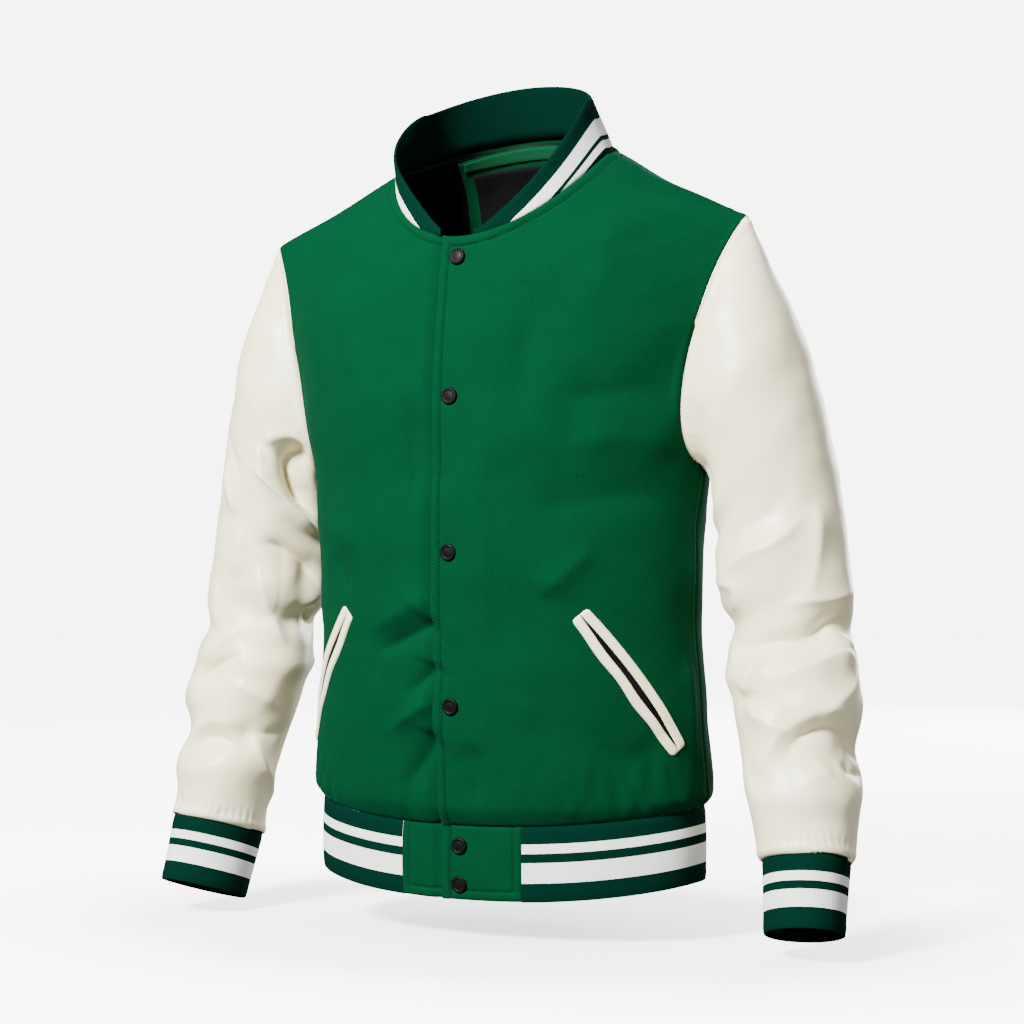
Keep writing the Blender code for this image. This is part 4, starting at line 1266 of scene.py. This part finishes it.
    def build_front(self, side: Side, sleeve: SleeveBlock) -> None:
        """One front with its edge stitches."""
        level_row, turn = self.rows()
        angle = self.front_angles(level_row, turn, near=54, rest=96)
        level = np.broadcast_to(level_row[:, None], angle.shape)
        outer, out = self.outer_face(angle, level, side)
        through_wall = self.wall_ways(outer, angle, level, turn, sleeve, both=False)
        piece = Wall(f"wool_front_{side.value}", outer, outer - through_wall * self.wall,
                     mirrored=side.mirrored).build()
        dress(piece, self.wool, f"front_{side.value}")
        inset = self.band.width + 0.3
        across, up = run_lengths(outer, 1), run_lengths(outer, 0)
        runs = []
        neck = self.line_inside(outer, out, up[-1:] - up, inset, rows=True)
        keep = across[-1] > (inset if side is Side.LEFT else 24)
        runs.append((neck[0][keep], neck[1][keep]))
        if side is Side.LEFT:
            edge = self.line_inside(outer, out, across, inset, rows=False)
            keep = (up[-1:] - up)[:, 0] > inset
            runs.append((edge[0][keep], edge[1][keep]))
        stitches = add_stitches(f"front_stitches_{side.value}", runs, side.mirrored)
        dress(stitches, self.thread)

    @staticmethod
    def line_inside(grid: Array, out: Array, distance: Array, inset: float,
                    rows: bool) -> tuple[Array, Array]:
        """A line at a fixed distance inside an edge.

        Args:
            grid: Points of the face.
            out: Outward normals.
            distance: Distance of each point from the edge.
            inset: The line's distance from it.
            rows: Whether the edge is the last row, else the first column.
        Returns:
            Points of the line and their normals.
        """
        points, ups = [], []
        count = grid.shape[1] if rows else grid.shape[0]
        for k in range(count):
            pick = (slice(None), k) if rows else (k, slice(None))
            away = distance[pick]
            order = np.argsort(away)
            points.append([np.interp(inset, away[order], grid[pick][order][:, c]) for c in range(3)])
            ups.append([np.interp(inset, away[order], out[pick][order][:, c]) for c in range(3)])
        return np.array(points), unit(np.array(ups))

    def build_back(self, sleeve: SleeveBlock) -> None:
        """The back with its neckline stitches."""
        level_row, turn = self.rows()
        angle = self.back_angles(turn, 240)
        level = np.broadcast_to(level_row[:, None], angle.shape)
        outer, out = self.outer_face(angle, level, None)
        through_wall = self.wall_ways(outer, angle, level, turn, sleeve, both=True)
        piece = Wall("wool_back", outer, outer - through_wall * self.wall).build()
        dress(piece, self.wool, "back")
        up = run_lengths(outer, 0)
        neck = self.line_inside(outer, out, up[-1:] - up, self.band.width + 0.3, rows=True)
        stitches = add_stitches("back_neck_stitches", [neck])
        dress(stitches, self.thread)

    def build_lining(self, name: str, angle: Array, level: Array, mirrored: bool,
                     sink: Array) -> None:
        """One panel of lining behind the wool."""
        real = -pi - angle if mirrored else angle
        shape = self.block.draped(real, level)
        if mirrored:
            shape = shape * (-1, 1, 1)
        out = normals_of(self.block.plain, angle, level)
        ease = 0.45 * np.sin(real * 34 + 2 * waves(shape, 90, 21)) * waves(shape, 70, 22)
        depth = (self.lining_depth + sink + 0.3 + ease)[..., None]
        outer = shape - out * depth
        piece = Wall(f"{name}_cloth", outer, outer - out * self.lining_wall,
                     mirrored=mirrored, step=1).build()
        dress(piece, self.lining, name)

    def build_linings(self) -> None:
        """Lining behind both fronts and the back."""
        level_row, turn = self.rows(0.34)
        margin = self.lining_back_off / 600
        level_row = margin + level_row * (1 - 2 * margin)
        for side in Side:
            angle = self.front_angles(level_row, turn, near=15, rest=33)
            level = np.broadcast_to(level_row[:, None], angle.shape)
            first = 8 if side is Side.LEFT else 1
            keep = slice(first, -1)
            sink = self.sink(angle, level, side)
            self.build_lining(f"lining_{side.value}", angle[:, keep], level[:, keep],
                              side.mirrored, sink[:, keep])
        angle = self.back_angles(turn, 84)
        keep = slice(1, -1)
        level = np.broadcast_to(level_row[:, None], angle.shape)
        self.build_lining("lining_back", angle[:, keep], level[:, keep], False,
                          np.zeros(angle[:, keep].shape))


@dataclass
class Sleeve:
    """One leather sleeve."""

    block: SleeveBlock
    leather: bpy.types.Material
    side: Side
    folds: tuple
    wall: float = 2.0
    rows: int = 330
    columns: int = 192
    slack: float = 0.55
    fold_gain: float = 1.4
    seam_dip: float = 0.9
    hem_dip: float = 0.35
    cuff_lap: float = 1.0
    gathers: int = 37
    cap_gather: float = 0.30
    cuff_gather: float = 0.42
    cap_puff: float = 1.0
    cuff_puff: float = 1.3
    cuff_lift: float = 1.5

    def build(self, cut: Cut) -> None:
        """Lay the folds on the block and close the wall."""
        turn = 2 * pi * np.arange(self.columns) / self.columns
        reach = np.linspace(0, 1, self.rows + 1)
        turn, reach = np.meshgrid(turn, reach)
        form = self.block.form(turn, reach)
        out = normals_of(self.block.form, turn, reach)
        radius = np.interp(reach, (0, 0.15, 0.5, 1), (82, 74, 60, 42))
        length = 470 + 110 * np.cos(turn)
        place = reach + 0.006 * waves(form, 70, 31 + self.side.mirrored)
        round_to = turn + 0.05 * waves(form, 80, 33 + self.side.mirrored)
        push = np.zeros(reach.shape)
        for fold in self.folds:
            push += self.fold_gain * fold.push(place, round_to, length, radius)
        push += self.slack * waves(form, 60, 35) + 0.16 * waves(form, 22, 36)
        down = run_lengths(form, 0)
        from_cuff = down[-1:] - down
        push *= smooth(down / 14) * smooth(from_cuff / 12)
        pucker = np.sin(turn * self.gathers + 2.5 * waves(form, 40, 37))
        pucker = pucker * (0.6 + 0.4 * waves(form, 30, 38))
        push += self.cap_gather * pucker * bell(down - 6, 8) * smooth((down - 1) / 5)
        push += self.cuff_gather * pucker * bell(from_cuff - 8, 9) * smooth((from_cuff - 2) / 6)
        push += self.cap_puff * bell(down - 5, 4.5) + self.cuff_puff * bell(from_cuff - 4.5, 4.0)
        push += self.cuff_lift * (1 - smooth(from_cuff / 30))
        push -= self.seam_dip * bell(down, 1.8) + self.hem_dip * bell(from_cuff, 1.0)
        outer = form + out * push[..., None]
        outer[-1] += self.cuff_lap * unit(outer[-1] - outer[-3])
        through_wall = grid_normals(outer, closed=True)
        hole = self.block.body.armhole(turn[0])
        through_wall[0] = mitre(through_wall[0], normals_of(self.block.body.plain, *hole))
        through_wall[-1] = mitre(through_wall[-1], normals_of(self.block.cuff, turn[-1], 0 * turn[-1]))
        piece = Wall(f"leather_sleeve_{self.side.value}", outer, outer - through_wall * self.wall,
                     closed=True, mirrored=self.side.mirrored).build()
        dress(piece, self.leather, f"sleeve_{self.side.value}")


@dataclass
class Ribs:
    """The collar, hem and cuff ribs, each a doubled knit folded at its free edge."""

    body: BodyBlock
    sleeve: SleeveBlock
    wall: float = 2.6
    wale: float = 2.6
    wale_depth: float = 0.16
    seam_reach: float = 0.5
    per_wale: int = 4
    rows: int = 13
    roll_rows: int = 5
    collar_end_left: float = 14.0
    collar_end_right: float = 21.0
    tab_reach: float = 61.0

    def rings(self, surface: Surface, turn: Array, tall: Array, top_v: bool = False,
              closed: bool = False) -> tuple[Array, Array]:
        """Sections of a doubled knit round a line.

        Args:
            surface: The rib's outer face.
            turn: Angle of each station.
            tall: Height of the rib at each station, in millimetres.
            top_v: Whether the stripes are measured from the folded edge.
            closed: Whether the stations run all the way round.
        Returns:
            Points and real-size places, stations by section.
        """
        share = np.linspace(0, 1, self.rows + 1)
        t_grid, v_grid = np.meshgrid(turn, share, indexing="ij")
        outer = surface(t_grid, v_grid)
        out = normals_of(surface, t_grid, v_grid)
        if surface in (self.sleeve.cuff, self.body.hem):
            out = out * np.sign(((outer - outer.mean((0, 1))) * out).sum(-1).mean())
        run = outer[:, 0]
        steps = np.linalg.norm(np.roll(run, -1, 0) - run, axis=1)
        u = np.concatenate(((0,), np.cumsum(steps[:-1])))
        whole = u[-1] + (steps[-1] if closed else 0)
        wales = round(whole / self.wale)
        ridge = self.wale_depth * np.cos(2 * pi * wales * u / whole)[:, None]
        flare = 0.5 * bell((1 - share) * tall[:, None] - 5, 5)
        dip = 0.7 * bell(share * tall[:, None], 1.8)
        soft = 0.4 * waves(outer, 60, 41)
        outer = outer + out * (ridge + flare - dip + soft * smooth(share * tall[:, None] / 12))[..., None]
        tip = unit(outer[:, -1] - outer[:, -2])
        if not closed:
            outer[:, 0] -= self.seam_reach * unit(outer[:, 2] - outer[:, 0])
        half = self.wall / 2
        swing = pi * (np.arange(self.roll_rows) + 1) / (self.roll_rows + 1)
        centre = outer[:, -1:] - out[:, -1:] * half
        roll = centre + half * (np.cos(swing)[None, :, None] * out[:, -1:]
                                + np.sin(swing)[None, :, None] * tip[:, None])
        thick = self.wall * (0.62 + 0.38 * smooth(share * tall[:, None] / 8))
        inside = outer - out * thick[..., None]
        inner, foot = inside[:, ::-2][:, :-1], inside[:, :1]
        rings = np.concatenate((outer, roll, inner, foot), 1)
        down = share * tall[:, None]
        from_top = (tall[:, None] - down) if top_v else down
        free_v = 0.0 if top_v else 1.0
        rest = np.full((len(turn), rings.shape[1] - outer.shape[1]), free_v) * tall[:, None]
        v = np.concatenate((from_top, rest), 1)
        uv = np.stack((np.broadcast_to(u[:, None], v.shape), v), -1) * MM
        return rings, uv

    def stations(self, surface: Surface, start: float, end: float) -> Array:
        """Angles spaced evenly along a rib, a few for each wale."""
        fine = np.linspace(start, end, 1200)
        run = surface(fine, 0 * fine + 0.5)
        length = np.concatenate(((0,), np.cumsum(np.linalg.norm(np.diff(run, axis=0), axis=1))))
        count = round(length[-1] / self.wale) * self.per_wale
        return np.interp(np.linspace(0, length[-1], count + 1), length, fine)

    def build_collar(self, knit: bpy.types.Material) -> None:
        """The collar, from the left front round the neck to the right front."""
        level = np.array([1.0])
        left = self.body.angle_at(np.array([self.collar_end_left]), level)[0]
        right = pi - self.body.angle_at(np.array([self.collar_end_right]), level)[0]
        turn = self.stations(self.body.collar, left, right)
        tall = self.body.collar_rise(wrap(turn))
        rings, uv = self.rings(self.body.collar, turn, tall, top_v=True)
        piece = dress(ring_run("collar_rib", rings, False, uv), knit, "rib_collar")

    def build_hem(self, knit: bpy.types.Material) -> None:
        """The hem rib, from tab to tab round the back."""
        end = self.body.angle_at(np.array([self.tab_reach]), np.array([0.0]))[0]
        turn = self.stations(self.body.hem, end, pi - end)
        tall = np.full(len(turn), self.body.hem_height)
        rings, uv = self.rings(self.body.hem, turn, tall)
        piece = dress(ring_run("hem_rib", rings, False, uv), knit, "rib_hem")

    def build_cuff(self, side: Side, knit: bpy.types.Material) -> None:
        """One cuff."""
        turn = self.stations(self.sleeve.cuff, 0.0, 2 * pi)[:-1]
        tall = np.full(len(turn), float(np.linalg.norm(self.sleeve.cuff_fall)))
        rings, uv = self.rings(self.sleeve.cuff, turn, tall, closed=True)
        piece = ring_run(f"cuff_rib_{side.value}", rings, True, uv, side.mirrored)
        dress(piece, knit, f"cuff_{side.value}")


@dataclass
class HemTabs:
    """The two wool tabs that close the hem rib."""

    panel: WoolBody
    band: EdgeBand = field(default_factory=lambda: EdgeBand(width=7.5, height=0.8))
    rows: int = 60
    columns: int = 72
    snap_heights: tuple = (-635.0, -670.0)

    def build(self, side: Side, cut: Cut) -> None:
        """One tab with its edge stitches."""
        block, panel = self.panel.block, self.panel
        x = np.linspace(-panel.edge_x, panel.tab_reach - 0.2, self.columns + 1)
        angle_row = block.angle_at(x, 0 * x)
        fall_column = np.linspace(1, 0, self.rows + 1)
        angle, fall = np.meshgrid(angle_row, fall_column)
        grid = block.hem(angle, fall)
        out = -normals_of(block.hem, angle, fall)
        across, up = run_lengths(grid, 1), run_lengths(grid, 0)
        from_side = across[:, -1:] - across
        edge = np.minimum(up, from_side)
        push = self.band.push(edge) - 0.9 * bell(up[-1:] - up, 1.6) * smooth((across - 9) / 3)
        if side is Side.LEFT:
            own = panel.band.push(across)
            push = np.where(across < panel.band.width + 2.5, np.maximum(own, -2) + 0 * push, push)
            for height in self.snap_heights:
                away = np.hypot(grid[..., 0], grid[..., 2] - height)
                push = push - 0.6 * bell(away, 9)
        push = push + 0.5 * waves(grid, 40, 51 + side.mirrored) * smooth(up / 10)
        push = push - panel.sink(angle, 0 * angle, side)
        outer = grid + out * push[..., None]
        piece = Wall(f"wool_tab_{side.value}", outer, outer - out * panel.wall,
                     mirrored=side.mirrored).build()
        dress(piece, panel.wool, f"hem_tab_{side.value}")
        inset = self.band.width + 0.3
        bottom = panel.line_inside(outer[::-1], out[::-1], up[::-1], inset, rows=True)
        side_line = panel.line_inside(outer, out, from_side, inset, rows=False)
        low = (across[0] > 12) & (from_side[0] > inset)
        runs = [(bottom[0][low], bottom[1][low]),
                (side_line[0][up[:, 0] > inset], side_line[1][up[:, 0] > inset])]
        if side is Side.LEFT:
            front = panel.line_inside(outer, out, across, panel.band.width + 0.3, rows=False)
            runs.append(front)
        stitches = add_stitches(f"tab_stitches_{side.value}", runs, side.mirrored)
        dress(stitches, panel.thread)


@dataclass
class Pocket:
    """A slanted slit between two leather welts."""

    block: BodyBlock
    leather: bpy.types.Material
    lining: bpy.types.Material
    thread: bpy.types.Material
    side: Side
    top: tuple = (radians(-53), -424.0)
    end: tuple = (radians(-17.5), -546.0)
    width: float = 8.8
    thick: float = 1.5
    slit: float = 6.0
    along: int = 120
    across: int = 15

    def surface(self, angle: Array, level: Array) -> Array:
        """The wool under the pocket, as a left piece."""
        if self.side is Side.LEFT:
            return self.block.draped(angle, level)
        return self.block.draped(-pi - angle, level) * (-1, 1, 1)

    def strip(self, share: Array, low: Array, high: Array, spans: int) -> tuple[Array, Array]:
        """Points and normals of a strip along the slit.

        Args:
            share: Places along the slit, 0 at its upper end.
            low: Distance of one edge from the slit's middle.
            high: Distance of the other edge.
            spans: Spans across the strip.
        Returns:
            Points on the wool and outward normals, spans by places.
        """
        angle = self.top[0] + (self.end[0] - self.top[0]) * share
        height = self.top[1] + (self.end[1] - self.top[1]) * share
        level = self.block.level_at(angle, height)
        middle = self.block.plain(angle, level)
        side_way = np.cross(normals_of(self.block.plain, angle, level),
                            unit(np.gradient(middle, axis=0)))
        points, outs = [], []
        for part in np.linspace(0, 1, spans + 1):
            distance = high + (low - high) * part
            at = self.block.beside(angle, level, side_way * distance[:, None])
            points.append(self.surface(*at))
            outs.append(normals_of(self.surface, *at))
        return np.stack(points), np.stack(outs)

    def build_welt(self, which: str) -> None:
        """One padded welt."""
        share = np.linspace(0, 1, self.along + 1)
        half = self.slit / 2 * np.sin(pi * share) ** 0.8 + 0.12
        rounded = 1.6 * (1 - np.sqrt(np.clip(np.minimum(share, 1 - share) * 60, 0, 1)))
        wave = np.sin(2 * pi * (share * 2.6 + 0.15)) * np.sin(pi * share)
        if which == "upper":
            low, high = half, half + self.width - rounded
        else:
            low, high = -half - self.width + rounded + 0.9 * wave, -half + 0.55 * wave * (half > 0.6)
        grid, out = self.strip(share, low, high, self.across)
        part = np.linspace(0, 1, self.across + 1)[:, None]
        bulge = np.clip(1 - (2 * part - 1) ** 4, 0, 1) ** 0.5
        ends = np.clip(np.minimum(share, 1 - share) * 40, 0, 1) ** 0.5
        sag = 0.5 * waves(grid, 26, 61) + (0.7 * wave if which == "lower" else 0.0)
        height = 0.5 + (self.thick + 0.25 * sag) * bulge * (0.45 + 0.55 * ends)
        outer = grid + out * height[..., None]
        inner = grid + out * 0.08
        piece = Wall(f"pocket_welt_{which}_{self.side.value}", outer, inner,
                     mirrored=self.side.mirrored, step=3, nose=0.3).build()
        dress(piece, self.leather, f"welt_{which}_{self.side.value}")
        pick = 2 if which == "upper" else self.across - 2
        run = (outer[pick][4:-4] + out[pick][4:-4] * 0.05, out[pick][4:-4])
        stitches = add_stitches(f"welt_stitches_{which}_{self.side.value}", [run],
                                self.side.mirrored)
        dress(stitches, self.thread)

    def build_mouth(self) -> None:
        """The black cloth seen in the slit, laid flat on the wool: partly the pocket's own black cloth,
        partly painted shade of an opening that is not cut.
        """
        share = np.linspace(0.06, 0.94, 61)
        half = self.slit / 2 * np.sin(pi * share) ** 0.8 + 0.5
        grid, out = self.strip(share, -half, half, 6)
        outer = grid + out * 0.42
        piece = Wall(f"pocket_cloth_and_painted_shade_{self.side.value}", outer, outer - out * 0.34,
                     mirrored=self.side.mirrored, step=3).build()
        dress(piece, self.lining, f"pocket_mouth_{self.side.value}")


@dataclass
class NeckPieces:
    """The facing, tape and label inside the back of the neck."""

    block: BodyBlock

    def build(self, name: str, replaced: str, finish: bpy.types.Material, slot: Slot,
              half_widths: tuple, heights: tuple, depth: float, thick: float, cut: Cut,
              gathers: float = 0.0, columns: int = 120, rows: int = 48) -> None:
        """One flat piece, softly rippled.

        Args:
            name: The piece's name.
            replaced: The solid that it stands for.
            finish: Its material.
            slot: Its slot; not used.
            half_widths: Half its width at the bottom and at the top.
            heights: Height of its bottom and its top at the centre back.
            depth: Depth of its outer face under the outside of the wool.
            thick: Its wall.
            cut: Its flat cut; not used.
            gathers: Depth of the gathers under its top edge.
            columns: Its spans across.
            rows: Its spans up.
        """
        centre = self.block.level_at(np.full(2, pi / 2), np.array(heights, float))
        level = np.linspace(centre[0], centre[1], rows + 1)
        half = np.linspace(half_widths[0], half_widths[1], rows + 1)
        share = np.linspace(-1, 1, columns + 1)
        level = np.broadcast_to(level[:, None], (rows + 1, columns + 1)).copy()
        angle = self.block.angle_at(-half[:, None] * share[None, :], level, back=True)
        out = normals_of(self.block.plain, angle, level)
        grid = self.block.plain(angle, level)
        below = run_lengths(grid, 0)
        below = below[-1:] - below
        ripple = 0.28 * waves(grid, 38, 71)
        crimp = np.sin(angle * 46 + 1.6 * waves(grid, 50, 72)) * (0.7 + 0.3 * waves(grid, 30, 73))
        ripple = ripple + gathers * crimp * bell(below - 6, 20)
        outer = grid - out * (depth + ripple)[..., None]
        piece = Wall(name, outer, outer - out * thick, step=3).build()
        dress(piece, finish, replaced)


@dataclass
class Snaps:
    """The six caps down the front, fastened."""

    block: BodyBlock
    enamel: bpy.types.Material
    radius: float = 7.8
    heights: tuple = (-100.0, -228.0, -369.0, -508.0, -635.0, -670.0)
    sides: int = 72
    profile: tuple = ((0.0, 0.2), (0.90, 0.2), (0.97, 0.35), (1.0, 0.75), (1.0, 1.15), (0.985, 1.6),
                      (0.95, 2.05), (0.90, 2.4), (0.84, 2.62), (0.775, 2.68), (0.72, 2.58),
                      (0.68, 2.36), (0.655, 2.16), (0.62, 2.08), (0.55, 2.12), (0.45, 2.25),
                      (0.33, 2.38), (0.20, 2.46), (0.08, 2.5), (0.0, 2.5))

    def build(self) -> None:
        """Turn each cap about its own axis."""
        angle = np.array(-pi / 2)
        hem_z = self.block.rings[0, 2]
        for index, height in enumerate(self.heights, 1):
            if height < hem_z:
                fall = np.array((hem_z - height) / self.block.hem_height)
                seat, axis = self.block.hem(angle, fall), -normals_of(self.block.hem, angle, fall)
            else:
                level = self.block.level_at(angle, np.array(height))
                seat = self.block.draped(angle, level)
                axis = normals_of(self.block.plain, angle, level)
            across = unit(np.cross((1.0, 0.0, 0.0), axis))
            other = np.cross(axis, across)
            turn = 2 * pi * np.arange(self.sides) / self.sides
            ring = np.cos(turn)[:, None] * other + np.sin(turn)[:, None] * across
            rings = [seat + axis * (rise - 0.35) + self.radius * share * ring
                     for share, rise in self.profile[1:-1]]
            points = np.concatenate(rings + [seat[None] + axis * (self.profile[0][1] - 0.35),
                                             seat[None] + axis * (self.profile[-1][1] - 0.35)])
            count, last = self.sides, len(rings) - 1
            faces = []
            for j in range(count):
                k = (j + 1) % count
                faces += [(i * count + j, i * count + k, (i + 1) * count + k, (i + 1) * count + j)
                          for i in range(last)]
                faces.append((j, k, len(points) - 2))
                faces.append((last * count + j, last * count + k, len(points) - 1))
            piece = add_mesh(f"snap_cap_{index}", points, faces)
            dress(piece, self.enamel, f"snap_{index}")


# ---- stage ------------------------------------------------------------------
@dataclass
class Studio:
    """A pale floor, soft lights and the camera."""

    floor_z: float = -0.722
    floor_radius: float = 9.0
    pale: float = 6.6
    floor_diffuse: float = 0.85
    floor_glow: float = 6.1
    camera_turn: float = radians(26.9)
    camera_pitch: float = radians(0.97)
    camera_away: float = 2.2
    camera_z: float = -0.368
    lens: float = 81.56

    def build(self) -> None:
        """Set everything up."""
        self.build_floor()
        self.build_wall()
        self.build_lights()
        self.build_camera()

    def pale_finish(self, name: str, diffuse: float, glow: float) -> bpy.types.Material:
        """A plain pale finish, part lit and part glowing."""
        s = Shader(name)
        s.set(Base_Color=(diffuse, diffuse, diffuse, 1), Roughness=1.0, Specular_IOR_Level=0.0,
              Emission_Color=(1.0, 0.995, 0.985, 1), Emission_Strength=glow)
        return s.material

    def floor_finish(self) -> bpy.types.Material:
        """The floor's pale finish, with a painted soft shadow under the jacket."""
        s = Shader("floor_pale_painted_shadow")
        away = s.tree.nodes.new("ShaderNodeVectorMath")
        away.operation = "LENGTH"
        s.tree.links.new(s.stretched((1 / 0.62, 1 / 0.42, 0.0)), away.inputs[0])
        # Painted shadow: the floor's glow is dimmed in an oval round the point under the jacket, darkest
        # at its middle.
        ramp = s.ramp(away.outputs["Value"], [(0.0, (0.30,) * 3), (0.55, (0.45,) * 3),
                                              (0.8, (0.80,) * 3), (1.0, (1.0,) * 3)])
        ramp.node.color_ramp.interpolation = "EASE"
        s.feed("Emission Color", ramp)
        pale = self.floor_diffuse
        s.set(Base_Color=(pale, pale, pale, 1), Roughness=1.0, Specular_IOR_Level=0.0,
              Emission_Strength=self.floor_glow)
        return s.material

    def build_floor(self) -> None:
        """A wide round floor."""
        turn = 2 * pi * np.arange(96) / 96
        rim = np.stack((np.cos(turn), np.sin(turn), 0 * turn), -1) * self.floor_radius
        points = np.concatenate((rim, np.zeros((1, 3)))) + (0, 0, self.floor_z)
        faces = [(i, (i + 1) % 96, 96) for i in range(96)]
        floor = add_mesh("floor", points / MM, faces)
        floor.data.materials.append(self.floor_finish())
        floor.visible_diffuse = False
        floor.visible_glossy = False

    def build_wall(self) -> None:
        """A round wall behind everything, only seen by the camera."""
        turn = 2 * pi * np.arange(96) / 96
        rim = np.stack((np.cos(turn), np.sin(turn), 0 * turn), -1) * (self.floor_radius - 0.1)
        points = np.concatenate((rim + (0, 0, self.floor_z - 0.05), rim + (0, 0, 8)))
        faces = [(i, (i + 1) % 96, 96 + (i + 1) % 96, 96 + i) for i in range(96)]
        wall = add_mesh("backdrop", points / MM, faces)
        wall.data.materials.append(self.pale_finish("backdrop_pale", 0.0, self.pale))
        for ray in ("diffuse", "glossy", "shadow", "transmission", "volume_scatter"):
            setattr(wall, f"visible_{ray}", False)

    def add_light(self, name: str, size: float, power: float, at: tuple, toward: tuple,
                  colour: tuple = (1, 1, 1)) -> None:
        """One soft box aimed at a point."""
        light = bpy.data.lights.new(name, "AREA")
        light.shape = "DISK"
        light.size = size
        light.energy = power
        light.color = colour
        made = bpy.data.objects.new(name, light)
        made.location = at
        made.rotation_euler = (Vector(toward) - Vector(at)).to_track_quat("-Z", "Y").to_euler()
        bpy.context.scene.collection.objects.link(made)

    def build_lights(self) -> None:
        """A large key from the front left of the view, a weak fill and dim surroundings."""
        middle = (0.0, 0.0, -0.33)
        self.add_light("key", 0.75, 470, (-0.55, -2.70, 1.40), middle, (1.0, 0.99, 0.96))
        self.add_light("fill", 1.6, 18, (2.4, -1.7, 0.2), middle, (0.98, 0.99, 1.0))
        self.add_light("back", 2.0, 150, (0.3, 2.9, 0.5), middle)
        world = bpy.data.worlds.new("surroundings")
        world.use_nodes = True
        shader = world.node_tree.nodes["Background"]
        shader.inputs["Color"].default_value = (1.0, 1.0, 1.0, 1)
        shader.inputs["Strength"].default_value = 0.30
        bpy.context.scene.world = world

    def build_camera(self) -> None:
        """The camera, a little to the wearer's left, at chest height."""
        camera = bpy.data.cameras.new("camera")
        camera.lens = self.lens
        camera.sensor_width = 36.0
        camera.shift_x = 0.0011
        made = bpy.data.objects.new("camera", camera)
        made.location = (sin(self.camera_turn) * self.camera_away,
                         -cos(self.camera_turn) * self.camera_away, self.camera_z)
        made.rotation_euler = (pi / 2 + self.camera_pitch, 0.0, self.camera_turn)
        bpy.context.scene.collection.objects.link(made)
        bpy.context.scene.camera = made


def main() -> None:
    """Build and dress every piece, in the order it is sewn."""
    body, wool = BodyBlock(), WoolMelton().material()
    sleeve_block = SleeveBlock(body)
    leather = SleeveLeather().material()
    lining = SatinLining().material("lining")
    green_thread = SewingThread((0.0002, 0.020, 0.006), (0.0004, 0.036, 0.012))
    cream_thread = SewingThread((0.60, 0.56, 0.45), (0.76, 0.72, 0.60))
    thread = green_thread.material("green_thread")
    panels = WoolBody(body, wool, lining, thread)
    for side in Side:
        panels.build_front(side, sleeve_block)
    panels.build_back(sleeve_block)
    panels.build_linings()
    for side, folds in ((Side.LEFT, LEFT_SLEEVE_FOLDS), (Side.RIGHT, RIGHT_SLEEVE_FOLDS)):
        Sleeve(sleeve_block, leather, side, folds).build(Cut(0.46, 0.60, 0.185))
    knit_hem = StripedKnit(((15, True), (23.5, False), (31.5, True), (50, False)))
    knit_cuff = StripedKnit(((16.4, True), (24.4, False), (31.6, True), (46.8, False)))
    knit_collar = StripedKnit(((19, True), (36, False), (40.6, True), (48.4, False)))
    ribs = Ribs(body, sleeve_block)
    ribs.build_collar(knit_collar.material("collar_knit"))
    ribs.build_hem(knit_hem.material("hem_knit"))
    cuff_knit = knit_cuff.material("cuff_knit")
    for side in Side:
        ribs.build_cuff(side, cuff_knit)
    tabs = HemTabs(panels)
    for side in Side:
        tabs.build(side, Cut(0.081, 0.067, 0.0053))
    cream = cream_thread.material("cream_thread")
    for side in Side:
        pocket = Pocket(body, leather, lining, cream, side)
        for which in ("upper", "lower"):
            pocket.build_welt(which)
        pocket.build_mouth()
    neck = NeckPieces(body)
    neck.build("back_facing", "neck_facing", wool, Slot.WOOL, (86, 82), (-72, 30), 6.6, 1.0,
               Cut(0.20, 0.115, 0.020), gathers=0.55)
    label = SatinLining((0.0014, 0.0014, 0.0016), (0.0028, 0.0028, 0.0032), 0.65, 1700.0)
    neck.build("label_cloth", "neck_label", label.material("label"), Slot.LINING, (73, 73),
               (-62, 12), 8.3, 0.9, Cut(0.16, 0.085, 0.0130))
    neck.build("neck_tape_cloth", "neck_tape", NeckTape().material(), Slot.TAPE, (80, 78),
               (18, 29), 8.6, 0.9, Cut(0.17, 0.013, 0.0021), rows=12)
    Snaps(body, SnapEnamel().material()).build()
    Studio().build()


if __name__ == "__main__":
    logging.basicConfig(level=logging.INFO, format="%(message)s")
    main()
